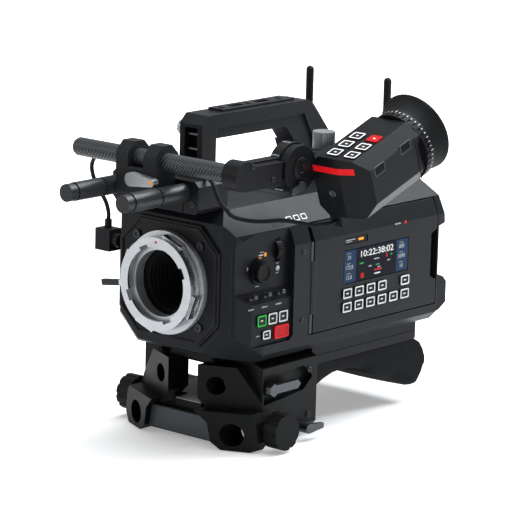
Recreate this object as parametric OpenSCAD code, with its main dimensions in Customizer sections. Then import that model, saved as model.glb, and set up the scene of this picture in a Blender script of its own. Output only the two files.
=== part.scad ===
// Digital cinema camera with a fold-out display, a top handle, a side viewfinder and a shoulder base.
// Millimetres. +Z is up, the lens looks along -Y and the operator's side is +X.
// The origin is the centre of the lens flange's seat, on the optical axis.

/* [Lens mount] */
// Bore of the lens throat
throat_d = 54; // [48:0.5:56]
// Outside diameter of the locking ring
ring_d = 76; // [74:0.5:80]
// How far the locking ring stands in front of the flange seat
ring_front = 6; // [4:0.5:8]
// Length of the locking ring along the axis
ring_len = 10; // [8:0.5:11]
// Width and height of the eight-sided front plate
plate_w = 106; // [100:1:108]
plate_h = 98; // [94:1:100]
// Distance from the flange seat to the image sensor
flange_focal = 52; // [44:0.5:54]

/* [Body] */
// Width of the body
body_w = 136; // [130:1:144]
// Distance from the flange seat back to the front wall
body_front = 12; // [11:0.5:14]
// Distance from the flange seat back to the rear wall
body_rear = 282; // [276:1:300]
// Height of the body's top above the optical axis
body_top = 63; // [62:0.5:66]
// Depth of the body's bottom below the optical axis
body_drop = 62; // [61:0.5:64]

/* [Fold-out display] */
// Length of the door, from its hinge side to its free end
door_len = 161.3; // [150:0.1:163]
// Thickness of the door
door_t = 13; // [11:0.5:14]
// Width and height of the status screen
screen_w = 84; // [76:1:88]
screen_h = 27; // [24:0.5:28]

/* [Handle] */
// Width of the top handle
handle_w = 24; // [20:1:30]
// Height of the handle's top above the optical axis
handle_top = 132; // [128:1:140]
// Depth of the grip bar
grip_h = 20; // [17:1:24]

/* [Rods] */
// Diameter of the light rods and of the viewfinder's cross tube
rod_d = 15; // [14:0.5:16]
// Spacing of the light rods
rod_pitch = 60; // [58:0.5:62]
// Depth of the lower light rods below the optical axis
rod_drop = 85; // [84:0.5:86]
// Diameter of the studio rods
studio_d = 19; // [18:0.5:19.5]
// Spacing of the studio rods
studio_pitch = 104; // [102:0.5:106]
// Depth of the studio rods below the optical axis
studio_drop = 121; // [120:0.5:122]

/* [Viewfinder] */
// Tilt of the viewfinder at rest, rear end up
finder_tilt = 20; // [10:1:30]
// Width and height of the viewfinder housing
finder_w = 50; // [48:1:54]
finder_h = 50; // [46:1:54]
// Length of the viewfinder housing
finder_len = 74.5; // [70:0.5:84]
// Length of the cross tube
tube_len = 166; // [150:1:175]

/* [Shoulder base] */
// Depth of the bracket feet below the optical axis
floor_drop = 134; // [133:0.5:137]
// Width of the shoulder pad
pad_w = 118; // [100:1:124]

/* [Hidden] */
$fn = 48;
hull_fn = 32;

// Overrun of every cut, running fit of a shaft, and gap between pieces that move past each other
cut = 1;
run_gap = 0.05;
move_gap = 0.3;

// Helpers

module along_y(y, len) {
    translate([0, y + len, 0]) rotate([90, 0, 0]) linear_extrude(len) children();
}

module along_x(x, len) {
    translate([x, 0, 0]) rotate([90, 0, 90]) linear_extrude(len) children();
}

module rounded(w, h, r) {
    square([w - 2 * r, h], center = true);
    square([w, h - 2 * r], center = true);
    for (sx = [-1, 1], sz = [-1, 1])
        translate([sx * (w / 2 - r), sz * (h / 2 - r)]) circle(r);
}

module rod_y(d, y, len) {
    translate([0, y, 0]) rotate([-90, 0, 0]) cylinder(d = d, h = len);
}

module rod_x(d, x, len) {
    translate([x, 0, 0]) rotate([0, 90, 0]) cylinder(d = d, h = len);
}

// A round grip along X with scalloped flutes in its rim
module fluted_knob(r, len, count, flute_r) {
    difference() {
        rod_x(2 * r, 0, len);
        for (i = [0 : count - 1])
            rotate([i * 360 / count, 0, 0]) translate([0, r + flute_r / 2, 0])
                rod_x(2 * flute_r, -cut, len + 2 * cut);
    }
}

function scaled(shares, w, h) = [for (s = shares) [s[0] * w, s[1] * h]];

// Body: section, side view and bevelled nose

body_half = body_w / 2;
side_top = 29;
chamfer_in = 6;
shoulder_top = 44;
crown_share = 0.68;
corner_up = 6;
rear_slope = 18;
rear_lip = 2;
tail_high = 19;
tail_mid = -22;
tail_low = -50;
tail_in = 8;
nose_top = 53;
nose_rise = 10;
// Nose slabs: how far back, how much narrower and higher than the body, and how much corner is cut
nose_backs = [0, 8, 36];
nose_ins = [14, 6, 0];
nose_lifts = [9, 5, 0];
nose_corners = [20, 20, 7];
slab_t = 0.1;

module body_section() {
    half = body_half;
    crown = half * crown_share;
    polygon([
        [-half, -body_drop], [half, -body_drop], [half, side_top], [half - chamfer_in, shoulder_top],
        [crown, body_top], [-crown, body_top], [-half + chamfer_in, shoulder_top], [-half, side_top]
    ]);
}

module nose_slab(y, in, lift, corner) {
    w = body_half - in;
    low = -body_drop + lift;
    along_y(y, slab_t) polygon([
        [-w + corner, low], [w - corner, low], [w, low + corner],
        [w, body_top + cut], [-w, body_top + cut], [-w, low + corner]
    ]);
}

module nose_form() {
    hull() {
        for (i = [0 : 2]) nose_slab(body_front + nose_backs[i], nose_ins[i], nose_lifts[i], nose_corners[i]);
        nose_slab(body_rear + cut, nose_ins[2], nose_lifts[2], nose_corners[2]);
    }
}

module body_side() {
    polygon([
        [body_front, -body_drop], [body_front, nose_top], [body_front + nose_rise, body_top],
        [body_rear - rear_slope, body_top], [body_rear - rear_lip, shoulder_top],
        [body_rear, tail_high + rear_lip], [body_rear - tail_in, tail_high], [body_rear - tail_in, -body_drop]
    ]);
}

// Side recess for the control panel, with its outline in shares of its length and height
panel_y = 10;
panel_len = 75;
panel_low = -48;
panel_h = 91;
panel_shares = [
    [0, 0.92], [0.46, 1], [0.98, 1], [1, 0.97], [1, 0.04], [0.94, 0], [0.34, 0], [0.05, 0.16], [0.1, 0.55]
];
panel_depth = 8.5;
panel_t = 2;
panel_low_t = 6;
shelf_top = -3;
shelf_low = -13;
panel_face = body_half - panel_depth + panel_t;
low_face = body_half - panel_depth + panel_low_t;

module panel_outline(gap) {
    translate([panel_y + gap, panel_low + gap])
        polygon(scaled(panel_shares, panel_len - 2 * gap, panel_h - 2 * gap));
}

wheel_y = 70.5;
wheel_z = 27;
wheel_r = 9;
wheel_w = 6;
wheel_out = 4.5;
wheel_x = panel_face - wheel_r + wheel_out;
wheel_teeth = 20;

module wheel_slot() {
    translate([wheel_x - wheel_r - move_gap, wheel_y - wheel_w / 2 - move_gap, wheel_z - wheel_r - move_gap])
        cube([wheel_r + panel_depth + cut, wheel_w + 2 * move_gap, 2 * wheel_r + 2 * move_gap]);
}

// Jamb in front of the door, with the hinge cover in it
jamb_y = 105;
cover_y = 88;
cover_len = 15.6;
cover_top = 16;
cover_low = -25;
cover_t = 3;

// Hinge of the door, and the door's place
hinge_r = 1.9;
hinge_in = 1.5;
pin_r = 0.9;
knuckle_len = 16;
hinge_x = body_half - hinge_in;
hinge_y = jamb_y + hinge_r + move_gap;
door_gap = 1.2;
door_front = hinge_y + hinge_r + move_gap + hinge_in / 2;
door_back = door_front + door_len;
door_low = -47;
door_top = shoulder_top - door_gap;

cavity_d = 60;
cavity_back = 14;
vent_count = 9;
vent_pitch = 8;
vent_w = 4;
vent_h = 46;
vent_y = 150;
vent_z = -10;
vent_depth = 3;
card_y = 60;
card_len = 60;
card_z = -12;
card_h = 50;
card_depth = 1.5;

module body_shell() {
    color("#2a2c2f") difference() {
        intersection() {
            along_y(body_front, body_rear - body_front) body_section();
            nose_form();
            along_x(-body_half - cut, body_w + 2 * cut) body_side();
        }
        // Cavity behind the lens throat
        rod_y(cavity_d, body_front - cut, flange_focal + cavity_back - body_front + cut);
        // Recess for the control panel, and the pocket of the thumb wheel
        along_x(body_half - panel_depth, panel_depth + cut) panel_outline(0);
        wheel_slot();
        // Recess for the hinge cover
        translate([body_half - cover_t, cover_y - move_gap, cover_low - move_gap])
            cube([cover_t + cut, cover_len + 2 * move_gap, cover_top - cover_low + 2 * move_gap]);
        // Recess for the door
        translate([body_half - door_t - cover_t / 2, jamb_y, door_low - door_gap])
            cube([door_t + cover_t, door_back - jamb_y + door_gap, door_top - door_low + 2 * door_gap]);
        // Air slots and card door on the far side
        for (i = [0 : vent_count - 1])
            translate([-body_half - cut, vent_y + i * vent_pitch, vent_z - vent_h / 2])
                cube([vent_depth + cut, vent_w, vent_h]);
        translate([-body_half - cut, card_y, card_z - card_h / 2])
            cube([card_depth + cut, card_len, card_h]);
    }
}

// Front plate with a raised rim, its screws, and the lens flange

plate_t = 2.5;
plate_y = body_front - plate_t;
plate_corner = 20;
plate_z = 1;
rim_in = 2;
rim_w = 1.8;
rim_t = 1.2;
corner_share = 0.586;
screw_x = 34;
screw_z = 33;
screw_head_d = 7;
screw_head_h = 1.6;
screw_d = 3;
socket_d = 3.5;

module plate_outline(inset) {
    w = plate_w / 2 - inset;
    h = plate_h / 2 - inset;
    c = plate_corner - corner_share * inset;
    polygon([
        [-w + c, -h], [w - c, -h], [w, -h + c], [w, h - c],
        [w - c, h], [-w + c, h], [-w, h - c], [-w, -h + c]
    ]);
}

module front_plate() {
    color("#232527") difference() {
        union() {
            along_y(plate_y, plate_t) translate([0, plate_z]) plate_outline(0);
            along_y(plate_y - rim_t, rim_t) translate([0, plate_z]) difference() {
                plate_outline(rim_in);
                plate_outline(rim_in + rim_w);
            }
        }
        rod_y(cavity_d, plate_y - cut, plate_t + 2 * cut);
        for (sx = [-1, 1], sz = [-1, 1])
            translate([sx * screw_x, 0, plate_z + sz * screw_z])
                rod_y(screw_d + 2 * run_gap, plate_y - cut, plate_t + 2 * cut);
    }
}

module front_screws() {
    color("#3a3c3f") for (sx = [-1, 1], sz = [-1, 1])
        translate([sx * screw_x, 0, plate_z + sz * screw_z]) difference() {
            union() {
                rod_y(screw_head_d, plate_y - screw_head_h, screw_head_h);
                rod_y(screw_d, plate_y, plate_t);
            }
            rod_y(socket_d, plate_y - screw_head_h - cut, screw_head_h / 2 + cut);
        }
}

neck_d = 66;
flange_d = 84;

module lens_flange() {
    flange_y = ring_len - ring_front + move_gap;
    color("#c9cbcc") difference() {
        union() {
            rod_y(neck_d, 0, plate_y);
            rod_y(flange_d, flange_y, plate_y - flange_y);
        }
        rod_y(throat_d, -cut, plate_y + 2 * cut);
    }
}

ring_lip = 2.5;
mouth_d = 60;
lug_w = 20;
lug_l = 6.5;
lug_out = 4;
lug_count = 4;
lug_turn = 21;
notch_w = 9;
notch_reach = 32.4;
notch_turn = 65;
tab_turn = -98;
tab_out = 24;
tab_w = 5;
tab_t = 4;
tab_back = 0.5;

module lock_ring() {
    color("#d9dadb") difference() {
        union() {
            rod_y(ring_d, -ring_front, ring_len);
            for (i = [0 : lug_count - 1])
                rotate([0, lug_turn + i * 360 / lug_count, 0])
                    translate([-lug_w / 2, -ring_front + ring_lip, 0])
                        cube([lug_w, lug_l, ring_d / 2 + lug_out - ring_lip]);
            rotate([0, tab_turn, 0]) translate([-tab_w / 2, -ring_front + ring_lip + tab_back, 0])
                cube([tab_w, tab_t, ring_d / 2 + tab_out]);
        }
        rod_y(mouth_d, -ring_front - cut, ring_len + 2 * cut);
        rod_y(neck_d + 2 * run_gap, -ring_front + ring_lip, ring_len);
        for (i = [0 : lug_count - 1])
            rotate([0, notch_turn + i * 360 / lug_count, 0])
                translate([-notch_w / 2, -ring_front - cut, mouth_d / 4])
                    cube([notch_w, ring_lip + 2 * cut, notch_reach - mouth_d / 4]);
    }
}

sensor_w = 40;
sensor_h = 34;
sensor_r = 3;
glass_w = 30;
glass_h = 18;
glass_t = 2;

module sensor_block() {
    color("#30363a") {
        along_y(flange_focal + glass_t, cavity_back - glass_t) rounded(sensor_w, sensor_h, sensor_r);
        along_y(flange_focal, glass_t) square([glass_w, glass_h], center = true);
    }
}

// Keys: a cap that stands in a pocket, with a raised rim on its face

key_t = 3;
key_sink = 1.8;
key_travel = 0.8;
key_rim_t = 0.3;
key_rim_w = 1.1;
key_r = 1.2;

module key_pocket(x, y, z, w, h) {
    along_x(x - key_sink, key_sink + cut)
        translate([y, z]) square([w + 2 * move_gap, h + 2 * move_gap], center = true);
}

module key(x, y, z, w, h) {
    cap_x = x - key_sink + key_travel + move_gap;
    cap_t = key_t - key_travel - move_gap;
    translate([0, y, z]) {
        along_x(cap_x, cap_t) rounded(w, h, key_r);
        along_x(cap_x + cap_t, key_rim_t) difference() {
            rounded(w, h, key_r);
            rounded(w - 2 * key_rim_w, h - 2 * key_rim_w, key_r / 2);
        }
    }
}

// Control panel and what is on it

knob_y = 47.5;
knob_z = 12.4;
menu_r = 8.5;
menu_len = 7;
skirt_r = 10.5;
skirt_len = 2.2;
dish_r = 6;
dish_depth = 0.6;
menu_flutes = 12;
lock_flutes = 24;
flute_r = 1.2;
knob_shaft_d = 5;
panel_key_w = 10.5;
panel_key_h = 9;
panel_key_z = -27;
panel_key_ys = [47.9, 61, 74];
small_y = 54;
low_row_z = -39.3;
small_w = 9;
small_h = 7;
record_y = 72.5;
record_w = 17;
record_h = 10.5;
toggle_ys = [35, 52, 69];
toggle_r = 1.3;
toggle_len = 7;
toggle_ball_r = 1.8;
toggle_tip_r = 1.9;
shelf_x = (panel_face + low_face) / 2;
shelf_z = (shelf_top + shelf_low) / 2;
shelf_lean = atan((shelf_top - shelf_low) / (low_face - panel_face));

module control_panel() {
    floor_x = body_half - panel_depth;
    color("#1f2123") difference() {
        intersection() {
            along_x(floor_x, panel_depth) panel_outline(move_gap);
            nose_form();
            along_y(0, body_rear) polygon([
                [floor_x, panel_low], [low_face, panel_low], [low_face, shelf_low],
                [panel_face, shelf_top], [panel_face, panel_low + panel_h], [floor_x, panel_low + panel_h]
            ]);
        }
        for (y = panel_key_ys) key_pocket(low_face, y, panel_key_z, panel_key_w, panel_key_h);
        key_pocket(low_face, record_y, low_row_z, record_w, record_h);
        key_pocket(low_face, small_y, low_row_z, small_w, small_h);
        wheel_slot();
        translate([0, knob_y, knob_z]) rod_x(knob_shaft_d + 2 * run_gap, floor_x - cut, panel_t + 2 * cut);
    }
}

module menu_knob() {
    color("#303234") translate([panel_face + move_gap, knob_y, knob_z]) {
        rod_x(knob_shaft_d, -panel_t, panel_t + cut);
        rod_x(2 * skirt_r, 0, skirt_len);
        difference() {
            translate([skirt_len, 0, 0]) fluted_knob(menu_r, menu_len - skirt_len, menu_flutes, flute_r);
            rod_x(2 * dish_r, menu_len - dish_depth, dish_depth + cut);
        }
    }
}

module thumb_wheel() {
    color("#4a4c4e") translate([wheel_x, wheel_y - wheel_w / 2, wheel_z]) difference() {
        rod_y(2 * wheel_r, 0, wheel_w);
        for (i = [0 : wheel_teeth - 1])
            rotate([0, i * 360 / wheel_teeth, 0]) translate([wheel_r + run_gap, 0, 0])
                rod_y(flute_r, -cut, wheel_w + 2 * cut);
    }
}

module toggle(i) {
    color("#d0d2d3") translate([shelf_x, toggle_ys[i], shelf_z]) rotate([0, shelf_lean, 0])
        translate([0, 0, toggle_ball_r + move_gap]) {
            sphere(toggle_ball_r);
            cylinder(r = toggle_r, h = toggle_len - toggle_tip_r);
            translate([0, 0, toggle_len - toggle_tip_r]) sphere(toggle_tip_r);
        }
}

module toggle_front() { toggle(0); }
module toggle_middle() { toggle(1); }
module toggle_rear() { toggle(2); }

module panel_key(i) {
    key(low_face, panel_key_ys[i], panel_key_z, panel_key_w, panel_key_h);
}

module key_power() { color("#12a33c") panel_key(0); }
module key_middle() { color("#1a1b1c") panel_key(1); }
module key_rear() { color("#1a1b1c") panel_key(2); }
module key_small() { color("#1a1b1c") key(low_face, small_y, low_row_z, small_w, small_h); }
module record_button() { color("#d8242c") key(low_face, record_y, low_row_z, record_w, record_h); }

module hinge_cover() {
    color("#2f3134") translate([body_half - cover_t, cover_y, cover_low])
        cube([cover_t, cover_len, cover_top - cover_low]);
}

// Fold-out display: the body carries the pin and two knuckles, the door one long knuckle between them

module hinge_pin() {
    color("#8a8c8e") {
        translate([hinge_x, hinge_y, door_low]) cylinder(r = pin_r, h = side_top - door_low);
        for (z = [door_low, side_top - knuckle_len])
            translate([hinge_x, hinge_y, z]) {
                cylinder(r = hinge_r, h = knuckle_len);
                translate([-hinge_r, jamb_y - hinge_y, 0]) cube([2 * hinge_r, hinge_y - jamb_y, knuckle_len]);
            }
    }
}

module door_section() {
    inner = body_half - door_t;
    polygon([
        [inner, door_low], [body_half, door_low], [body_half, side_top],
        [body_half - chamfer_in, door_top], [inner, door_top]
    ]);
}

notch_low = -27;
notch_top = 18;
notch_in = 8;
screen_y = 148;
screen_z = 1.5;
screen_t = 1.2;
bezel = 1;
door_key_y = 152;
door_key_pitch = 15.2;
upper_row = [0, 1, 2, 3, 5];
lower_row = [0, 1, 2, 3, 4, 5];
upper_row_z = -20.4;
lower_row_z = -32;
door_key_w = 11;
door_key_h = 8;
touch_w = 110;
touch_h = 64;
touch_t = 1.5;
touch_y = 186;
touch_z = -2;
label_y = 147;
label_len = 31;
label_z = 20;
label_h = 6;

module door_key_row(row, z) {
    for (i = row)
        key(body_half, door_key_y + i * door_key_pitch, z, door_key_w, door_key_h);
}

module door_pocket_row(row, z) {
    for (i = row)
        key_pocket(body_half, door_key_y + i * door_key_pitch, z, door_key_w, door_key_h);
}

module display_door() {
    knuckle_low = door_low + knuckle_len + move_gap;
    knuckle_h = side_top - door_low - 2 * knuckle_len - 2 * move_gap;
    color("#2b2d30") difference() {
        union() {
            along_y(door_front, door_len) door_section();
            translate([hinge_x, hinge_y, knuckle_low]) {
                cylinder(r = hinge_r, h = knuckle_h);
                translate([-hinge_r, 0, 0]) cube([2 * hinge_r, door_front - hinge_y + hinge_r, knuckle_h]);
            }
        }
        translate([hinge_x, hinge_y, door_low - cut])
            cylinder(r = pin_r + run_gap, h = side_top - door_low + 2 * cut);
        // Finger notch at the free end
        along_x(body_half - door_t - cut, door_t + 2 * cut) polygon([
            [door_back - notch_in, notch_low + notch_in / 2], [door_back + cut, notch_low],
            [door_back + cut, notch_top], [door_back - notch_in, notch_top - notch_in / 2]
        ]);
        translate([body_half - screen_t, screen_y - bezel, screen_z - screen_h / 2 - bezel])
            cube([screen_t + cut, screen_w + 2 * bezel, screen_h + 2 * bezel]);
        translate([body_half - screen_t, label_y, label_z]) cube([screen_t + cut, label_len, label_h]);
        door_pocket_row(upper_row, upper_row_z);
        door_pocket_row(lower_row, lower_row_z);
        translate([body_half - door_t - cut, touch_y - touch_w / 2, touch_z - touch_h / 2])
            cube([touch_t + cut, touch_w, touch_h]);
    }
}

module status_screen() {
    color("#123a66") translate([body_half - screen_t, screen_y, screen_z - screen_h / 2])
        cube([screen_t, screen_w, screen_h]);
}

module touch_screen() {
    color("#0c0d0e")
        translate([body_half - door_t, touch_y - touch_w / 2 + run_gap, touch_z - touch_h / 2 + run_gap])
        cube([touch_t, touch_w - 2 * run_gap, touch_h - 2 * run_gap]);
}

module door_keys_upper() { color("#141516") door_key_row(upper_row, upper_row_z); }
module door_keys_lower() { color("#141516") door_key_row(lower_row, lower_row_z); }

// Rear: battery plate, and the connector module below it

module_back = 10;
module_w = 128;
module_lip = 5;
battery_w = 84;
battery_t = 8;
rail_slot_w = 7;

module rear_module() {
    rear = body_rear - tail_in;
    color("#26282a") along_x(-module_w / 2, module_w) polygon([
        [rear, -body_drop + corner_up], [body_rear, -body_drop + corner_up],
        [body_rear + module_back, tail_low], [body_rear + module_back, tail_mid - 2 * module_lip],
        [body_rear + module_lip, tail_mid - module_lip], [rear, tail_mid - move_gap]
    ]);
}

module battery_plate() {
    color("#1b1c1d") difference() {
        translate([-battery_w / 2, body_rear - tail_in, tail_mid])
            cube([battery_w, battery_t, tail_high - tail_mid]);
        for (sx = [-1, 1])
            translate([sx * battery_w / 4 - rail_slot_w / 2, body_rear - tail_in + battery_t / 2, 0])
                translate([0, 0, tail_mid + module_lip])
                    cube([rail_slot_w, battery_t, tail_high - tail_mid]);
    }
}

ant_x = 42;
ant_y = 230;
ant_base_r = 5.5;
ant_base_h = 5;
ant_d = 6.5;
ant_top = 147;
ant_pivot = body_top + ant_base_h + ant_d / 2 + move_gap;

module antenna_base() {
    color("#1b1c1d") for (s = [-1, 1])
        translate([s * ant_x, ant_y, body_top]) cylinder(r = ant_base_r, h = ant_base_h);
}

module antenna(s) {
    rise = ant_top - ant_pivot - ant_d / 2;
    color("#2c2e30") translate([s * ant_x, ant_y, ant_pivot]) {
        sphere(d = ant_d);
        cylinder(d = ant_d, h = rise);
        translate([0, 0, rise]) sphere(d = ant_d);
    }
}

module antenna_left() { antenna(-1); }
module antenna_right() { antenna(1); }

// Handle

post_y = 33;
post_t = 17;
foot_out = 6;
foot_h = 9;
nose_cut = 7;
leg_top_y = 170;
leg_knee_y = 191;
leg_knee_z = 104;
leg_foot_y = 205;
leg_foot_t = 40;
leg_in_y = 139;
leg_in_run = 11;
leg_in_drop = 13;
hollow_w = 14;
hollow_in = 9;
hollow_low = 18;
hollow_top = 10;
band_in = 2.5;
band_h = 11;
pad_plate_y = 62;
pad_plate_len = 88;
pad_plate_w = 16;
pad_plate_t = 2.4;
slot_ys = [78, 110];
slot_len = 16;
slot_w = 7;
knob_hole_z = 119;
handle_knob_r = 6;
handle_knob_len = 8;
handle_shaft_d = 4;
handle_flutes = 10;

module handle_side() {
    under = handle_top - grip_h;
    polygon([
        [post_y - foot_out, body_top], [post_y, body_top + foot_h], [post_y, handle_top - nose_cut],
        [post_y + nose_cut, handle_top], [leg_top_y - nose_cut, handle_top],
        [leg_top_y, handle_top - nose_cut / 2],
        [leg_knee_y, leg_knee_z], [leg_foot_y, body_top], [leg_foot_y - leg_foot_t, body_top],
        [leg_in_y + leg_in_run, under - leg_in_drop], [leg_in_y, under],
        [post_y + post_t, under], [post_y + post_t, body_top + foot_h], [post_y + post_t + foot_out, body_top]
    ]);
}

module top_handle() {
    knob_y0 = post_y + post_t * 2 / 3;
    color("#303234") difference() {
        union() {
            along_x(-handle_w / 2, handle_w) handle_side();
            translate([-pad_plate_w / 2, pad_plate_y, handle_top])
                cube([pad_plate_w, pad_plate_len, pad_plate_t]);
        }
        // Hollow in the front of the post
        translate([-hollow_w / 2, post_y - cut, body_top + hollow_low])
            cube([hollow_w, hollow_in + cut, handle_top - body_top - hollow_low - hollow_top]);
        // Slots in the raised top
        for (y = slot_ys)
            translate([-slot_w / 2, y, handle_top]) cube([slot_w, slot_len, pad_plate_t + cut]);
        // The inner part of grip and leg is narrower than the band round their outside
        for (s = [-1, 1])
            along_x(s * handle_w / 2 - band_in, 2 * band_in) polygon([
                [post_y + post_t, handle_top - grip_h - cut], [leg_in_y, handle_top - grip_h - cut],
                [leg_in_y + leg_in_run, handle_top - grip_h - leg_in_drop],
                [leg_foot_y - leg_foot_t, body_top + foot_h],
                [leg_foot_y - 2 * band_h, body_top + foot_h], [leg_knee_y - 2 * band_h, leg_knee_z],
                [leg_top_y - band_h, handle_top - band_h], [post_y + post_t, handle_top - band_h]
            ]);
        translate([0, knob_y0, knob_hole_z])
            rod_x(handle_shaft_d + 2 * run_gap, -handle_w / 2 - cut, handle_knob_len / 2 + cut);
    }
}

module handle_knob() {
    color("#b9bbbc") translate([-handle_w / 2 - move_gap, post_y + post_t * 2 / 3, knob_hole_z]) {
        translate([-handle_knob_len, 0, 0])
            fluted_knob(handle_knob_r, handle_knob_len, handle_flutes, flute_r);
        rod_x(handle_shaft_d, -cut, handle_knob_len / 2);
    }
}

// Rod block, light rods, and the clamp of the cross tube

rod_half = rod_pitch / 2;
rod_z = 79;
rod_front = -78;
rod_len = 100;
block_front = -8;
block_back = post_y - foot_out - move_gap;
block_half = 46;
block_top = 89;
block_corner = 4;
split_w = 1.2;
split_len = 12;
cap_len = 7;
cap_step = 0.4;
groove_len = 1.6;
groove_step = 1;
rod_free = 29.4;

module rod_block() {
    color("#222426") difference() {
        along_y(block_front, block_back - block_front) polygon([
            [-block_half, body_top + block_corner], [-block_half + block_corner, body_top],
            [block_half - block_corner, body_top], [block_half, body_top + block_corner],
            [block_half, block_top - block_corner], [block_half - block_corner, block_top],
            [-block_half + block_corner, block_top], [-block_half, block_top - block_corner]
        ]);
        for (s = [-1, 1]) {
            translate([s * rod_half, 0, rod_z])
                rod_y(rod_d + 2 * run_gap, block_front - cut, block_back - block_front + 2 * cut);
            // Clamping split below each bore
            translate([s * rod_half - split_w / 2, block_front - cut, body_top - cut])
                cube([split_w, split_len + cut, rod_z - body_top]);
        }
    }
}

// The second groove marks how far an accessory's clamp goes onto the rod
module light_rod(s) {
    free_front = rod_front + cap_len + groove_len;
    color("#3d4042") translate([s * rod_half, 0, rod_z]) {
        rod_y(rod_d - 2 * cap_step, rod_front, cap_len);
        rod_y(rod_d - 2 * groove_step, rod_front + cap_len, groove_len);
        rod_y(rod_d, free_front, rod_free);
        rod_y(rod_d - 2 * groove_step, free_front + rod_free, groove_len);
        rod_y(rod_d, free_front + rod_free + groove_len, rod_front + rod_len - free_front - rod_free - groove_len);
    }
}

module rod_left() { light_rod(-1); }
module rod_right() { light_rod(1); }

tube_y = -18;
tube_z = 103;
tube_left = -75;
tube_cap = 2;
clamp_half = 21;
window_half = 8.5;
clamp_r = 13.5;
clamp_sides = 8;
clamp_low = 76;
clamp_front = tube_y - clamp_r;
bridge_drop = 6;
lever_z = 89;
lever_len = 22;
lever_r = 5.5;
lever_tip_r = 3.2;
lever_t = 6;
lever_pin_d = 4;
lever_pin_len = 6;

module tube_clamp() {
    color("#5a5d60") difference() {
        along_x(-clamp_half, 2 * clamp_half) {
            translate([tube_y, tube_z]) rotate(180 / clamp_sides)
                circle(clamp_r / cos(180 / clamp_sides), $fn = clamp_sides);
            translate([clamp_front, clamp_low])
                square([block_front - clamp_front, tube_z - clamp_low - bridge_drop]);
        }
        translate([0, tube_y, tube_z])
            rod_x(rod_d + 2 * run_gap, -clamp_half - cut, 2 * clamp_half + 2 * cut);
        // Window between the two rings
        translate([-window_half, clamp_front - cut, tube_z - bridge_drop])
            cube([2 * window_half, 2 * clamp_r + 2 * cut, clamp_r + bridge_drop + cut]);
        translate([0, 0, lever_z]) rod_y(lever_pin_d + 2 * run_gap, clamp_front - cut, lever_pin_len + cut);
    }
}

module clamp_lever() {
    color("#a9acae") translate([0, clamp_front - move_gap - lever_t, lever_z]) {
        along_y(0, lever_t) hull() {
            circle(lever_r, $fn = hull_fn);
            translate([lever_len, 0]) circle(lever_tip_r, $fn = hull_fn);
        }
        rod_y(lever_pin_d, lever_t / 2, lever_t / 2 + lever_pin_len);
    }
}

module cross_tube() {
    color("#3d4042") translate([0, tube_y, tube_z]) {
        rod_x(rod_d - 2 * groove_step, tube_left, tube_cap);
        rod_x(rod_d, tube_left + tube_cap, tube_len - tube_cap);
    }
}

arm_x = 88;
arm_t = 15;
arm_end_r = 12;
arm_waist = 10;
joint_t = 9;
pivot_y = 45;
pivot_z = 102;
pivot_r = 20;
pivot_pin_d = 10;
pivot_pin_len = 6;
spar_z = 101;
spar_h = 10;
spar_back = 100;
spar_out = 4;
lock_y = 89.5;
lock_r = 9;
lock_len = 13.5;
lock_pin_d = 6;
lock_pin_len = 7;

module elbow_arm() {
    disc_front = pivot_y - pivot_r;
    lock_x = arm_x - spar_out + (joint_t + spar_out) / 2;
    color("#1d1f20") difference() {
        union() {
            along_x(arm_x, arm_t) {
                translate([tube_y, tube_z]) circle(arm_end_r);
                translate([tube_y, tube_z - arm_end_r])
                    square([disc_front - tube_y - move_gap, 2 * arm_end_r - pivot_pin_d / 2]);
            }
            along_x(arm_x, joint_t) {
                translate([pivot_y, pivot_z]) circle(pivot_r);
                translate([tube_y, pivot_z - arm_waist]) square([pivot_y - tube_y, 2 * arm_waist]);
            }
            // Spar behind the pivot, which carries the locking knob
            translate([arm_x - spar_out, pivot_y, spar_z])
                cube([joint_t + spar_out, spar_back - pivot_y, spar_h]);
        }
        translate([0, tube_y, tube_z])
            rod_x(rod_d + 2 * run_gap, arm_x - cut, tube_left + tube_len - arm_x + cut);
        translate([0, pivot_y, pivot_z])
            rod_x(
                pivot_pin_d + 2 * run_gap,
                arm_x + joint_t - pivot_pin_len - move_gap,
                pivot_pin_len + move_gap + cut
            );
        translate([lock_x, lock_y, spar_z + spar_h - lock_pin_len - move_gap])
            cylinder(d = lock_pin_d + 2 * run_gap, h = lock_pin_len + move_gap + cut);
    }
}

module finder_knob() {
    lock_x = arm_x - spar_out + (joint_t + spar_out) / 2;
    color("#7d8083") translate([lock_x, lock_y, spar_z + spar_h + move_gap]) {
        translate([0, 0, -lock_pin_len]) cylinder(d = lock_pin_d, h = lock_pin_len + cut);
        rotate([0, -90, 0]) fluted_knob(lock_r, lock_len, lock_flutes, flute_r / 2);
    }
}

// Viewfinder, drawn level about its pivot and then tilted

module finder_frame() {
    translate([0, pivot_y, pivot_z]) rotate([finder_tilt, 0, 0]) children();
}

bracket_x = arm_x + joint_t + move_gap;
bracket_t = 7.3;
disc_step = 1.5;
plate_in = 1.7;
plate_len = 40;
plate_drop = 15;
finder_x = bracket_x + bracket_t;
finder_front = 12.5;
finder_top = 3.5;
finder_mid_x = finder_x + finder_w / 2;
finder_back = finder_front + finder_len;
axis_drop = 26;
finder_axis = finder_top - axis_drop;
brow_run = 4;
brow_drop = 6;
boss_r = 24;
boss_len = 13;
eye_r = 18;
eye_t = 4;
finder_section_shares = [
    [0, -0.14], [0.1, 0], [0.8, 0], [1, -0.2], [1, -0.78], [0.84, -1], [0.16, -1], [0, -0.84]
];
finder_nose_shares = [[0.53, 0], [0.8, 0.07], [1, 0.22]];
finder_key_w = 11;
finder_key_l = 9.5;
finder_key_sink = 1.6;
finder_key_up = 1;
finder_key_travel = 0.6;
finder_key_x = 16;
finder_key_dx = 17;
finder_key_u = 13;
finder_key_du = 14.2;
tally_h = 5.5;
tally_t = 0.9;
tally_in = 1;

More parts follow.
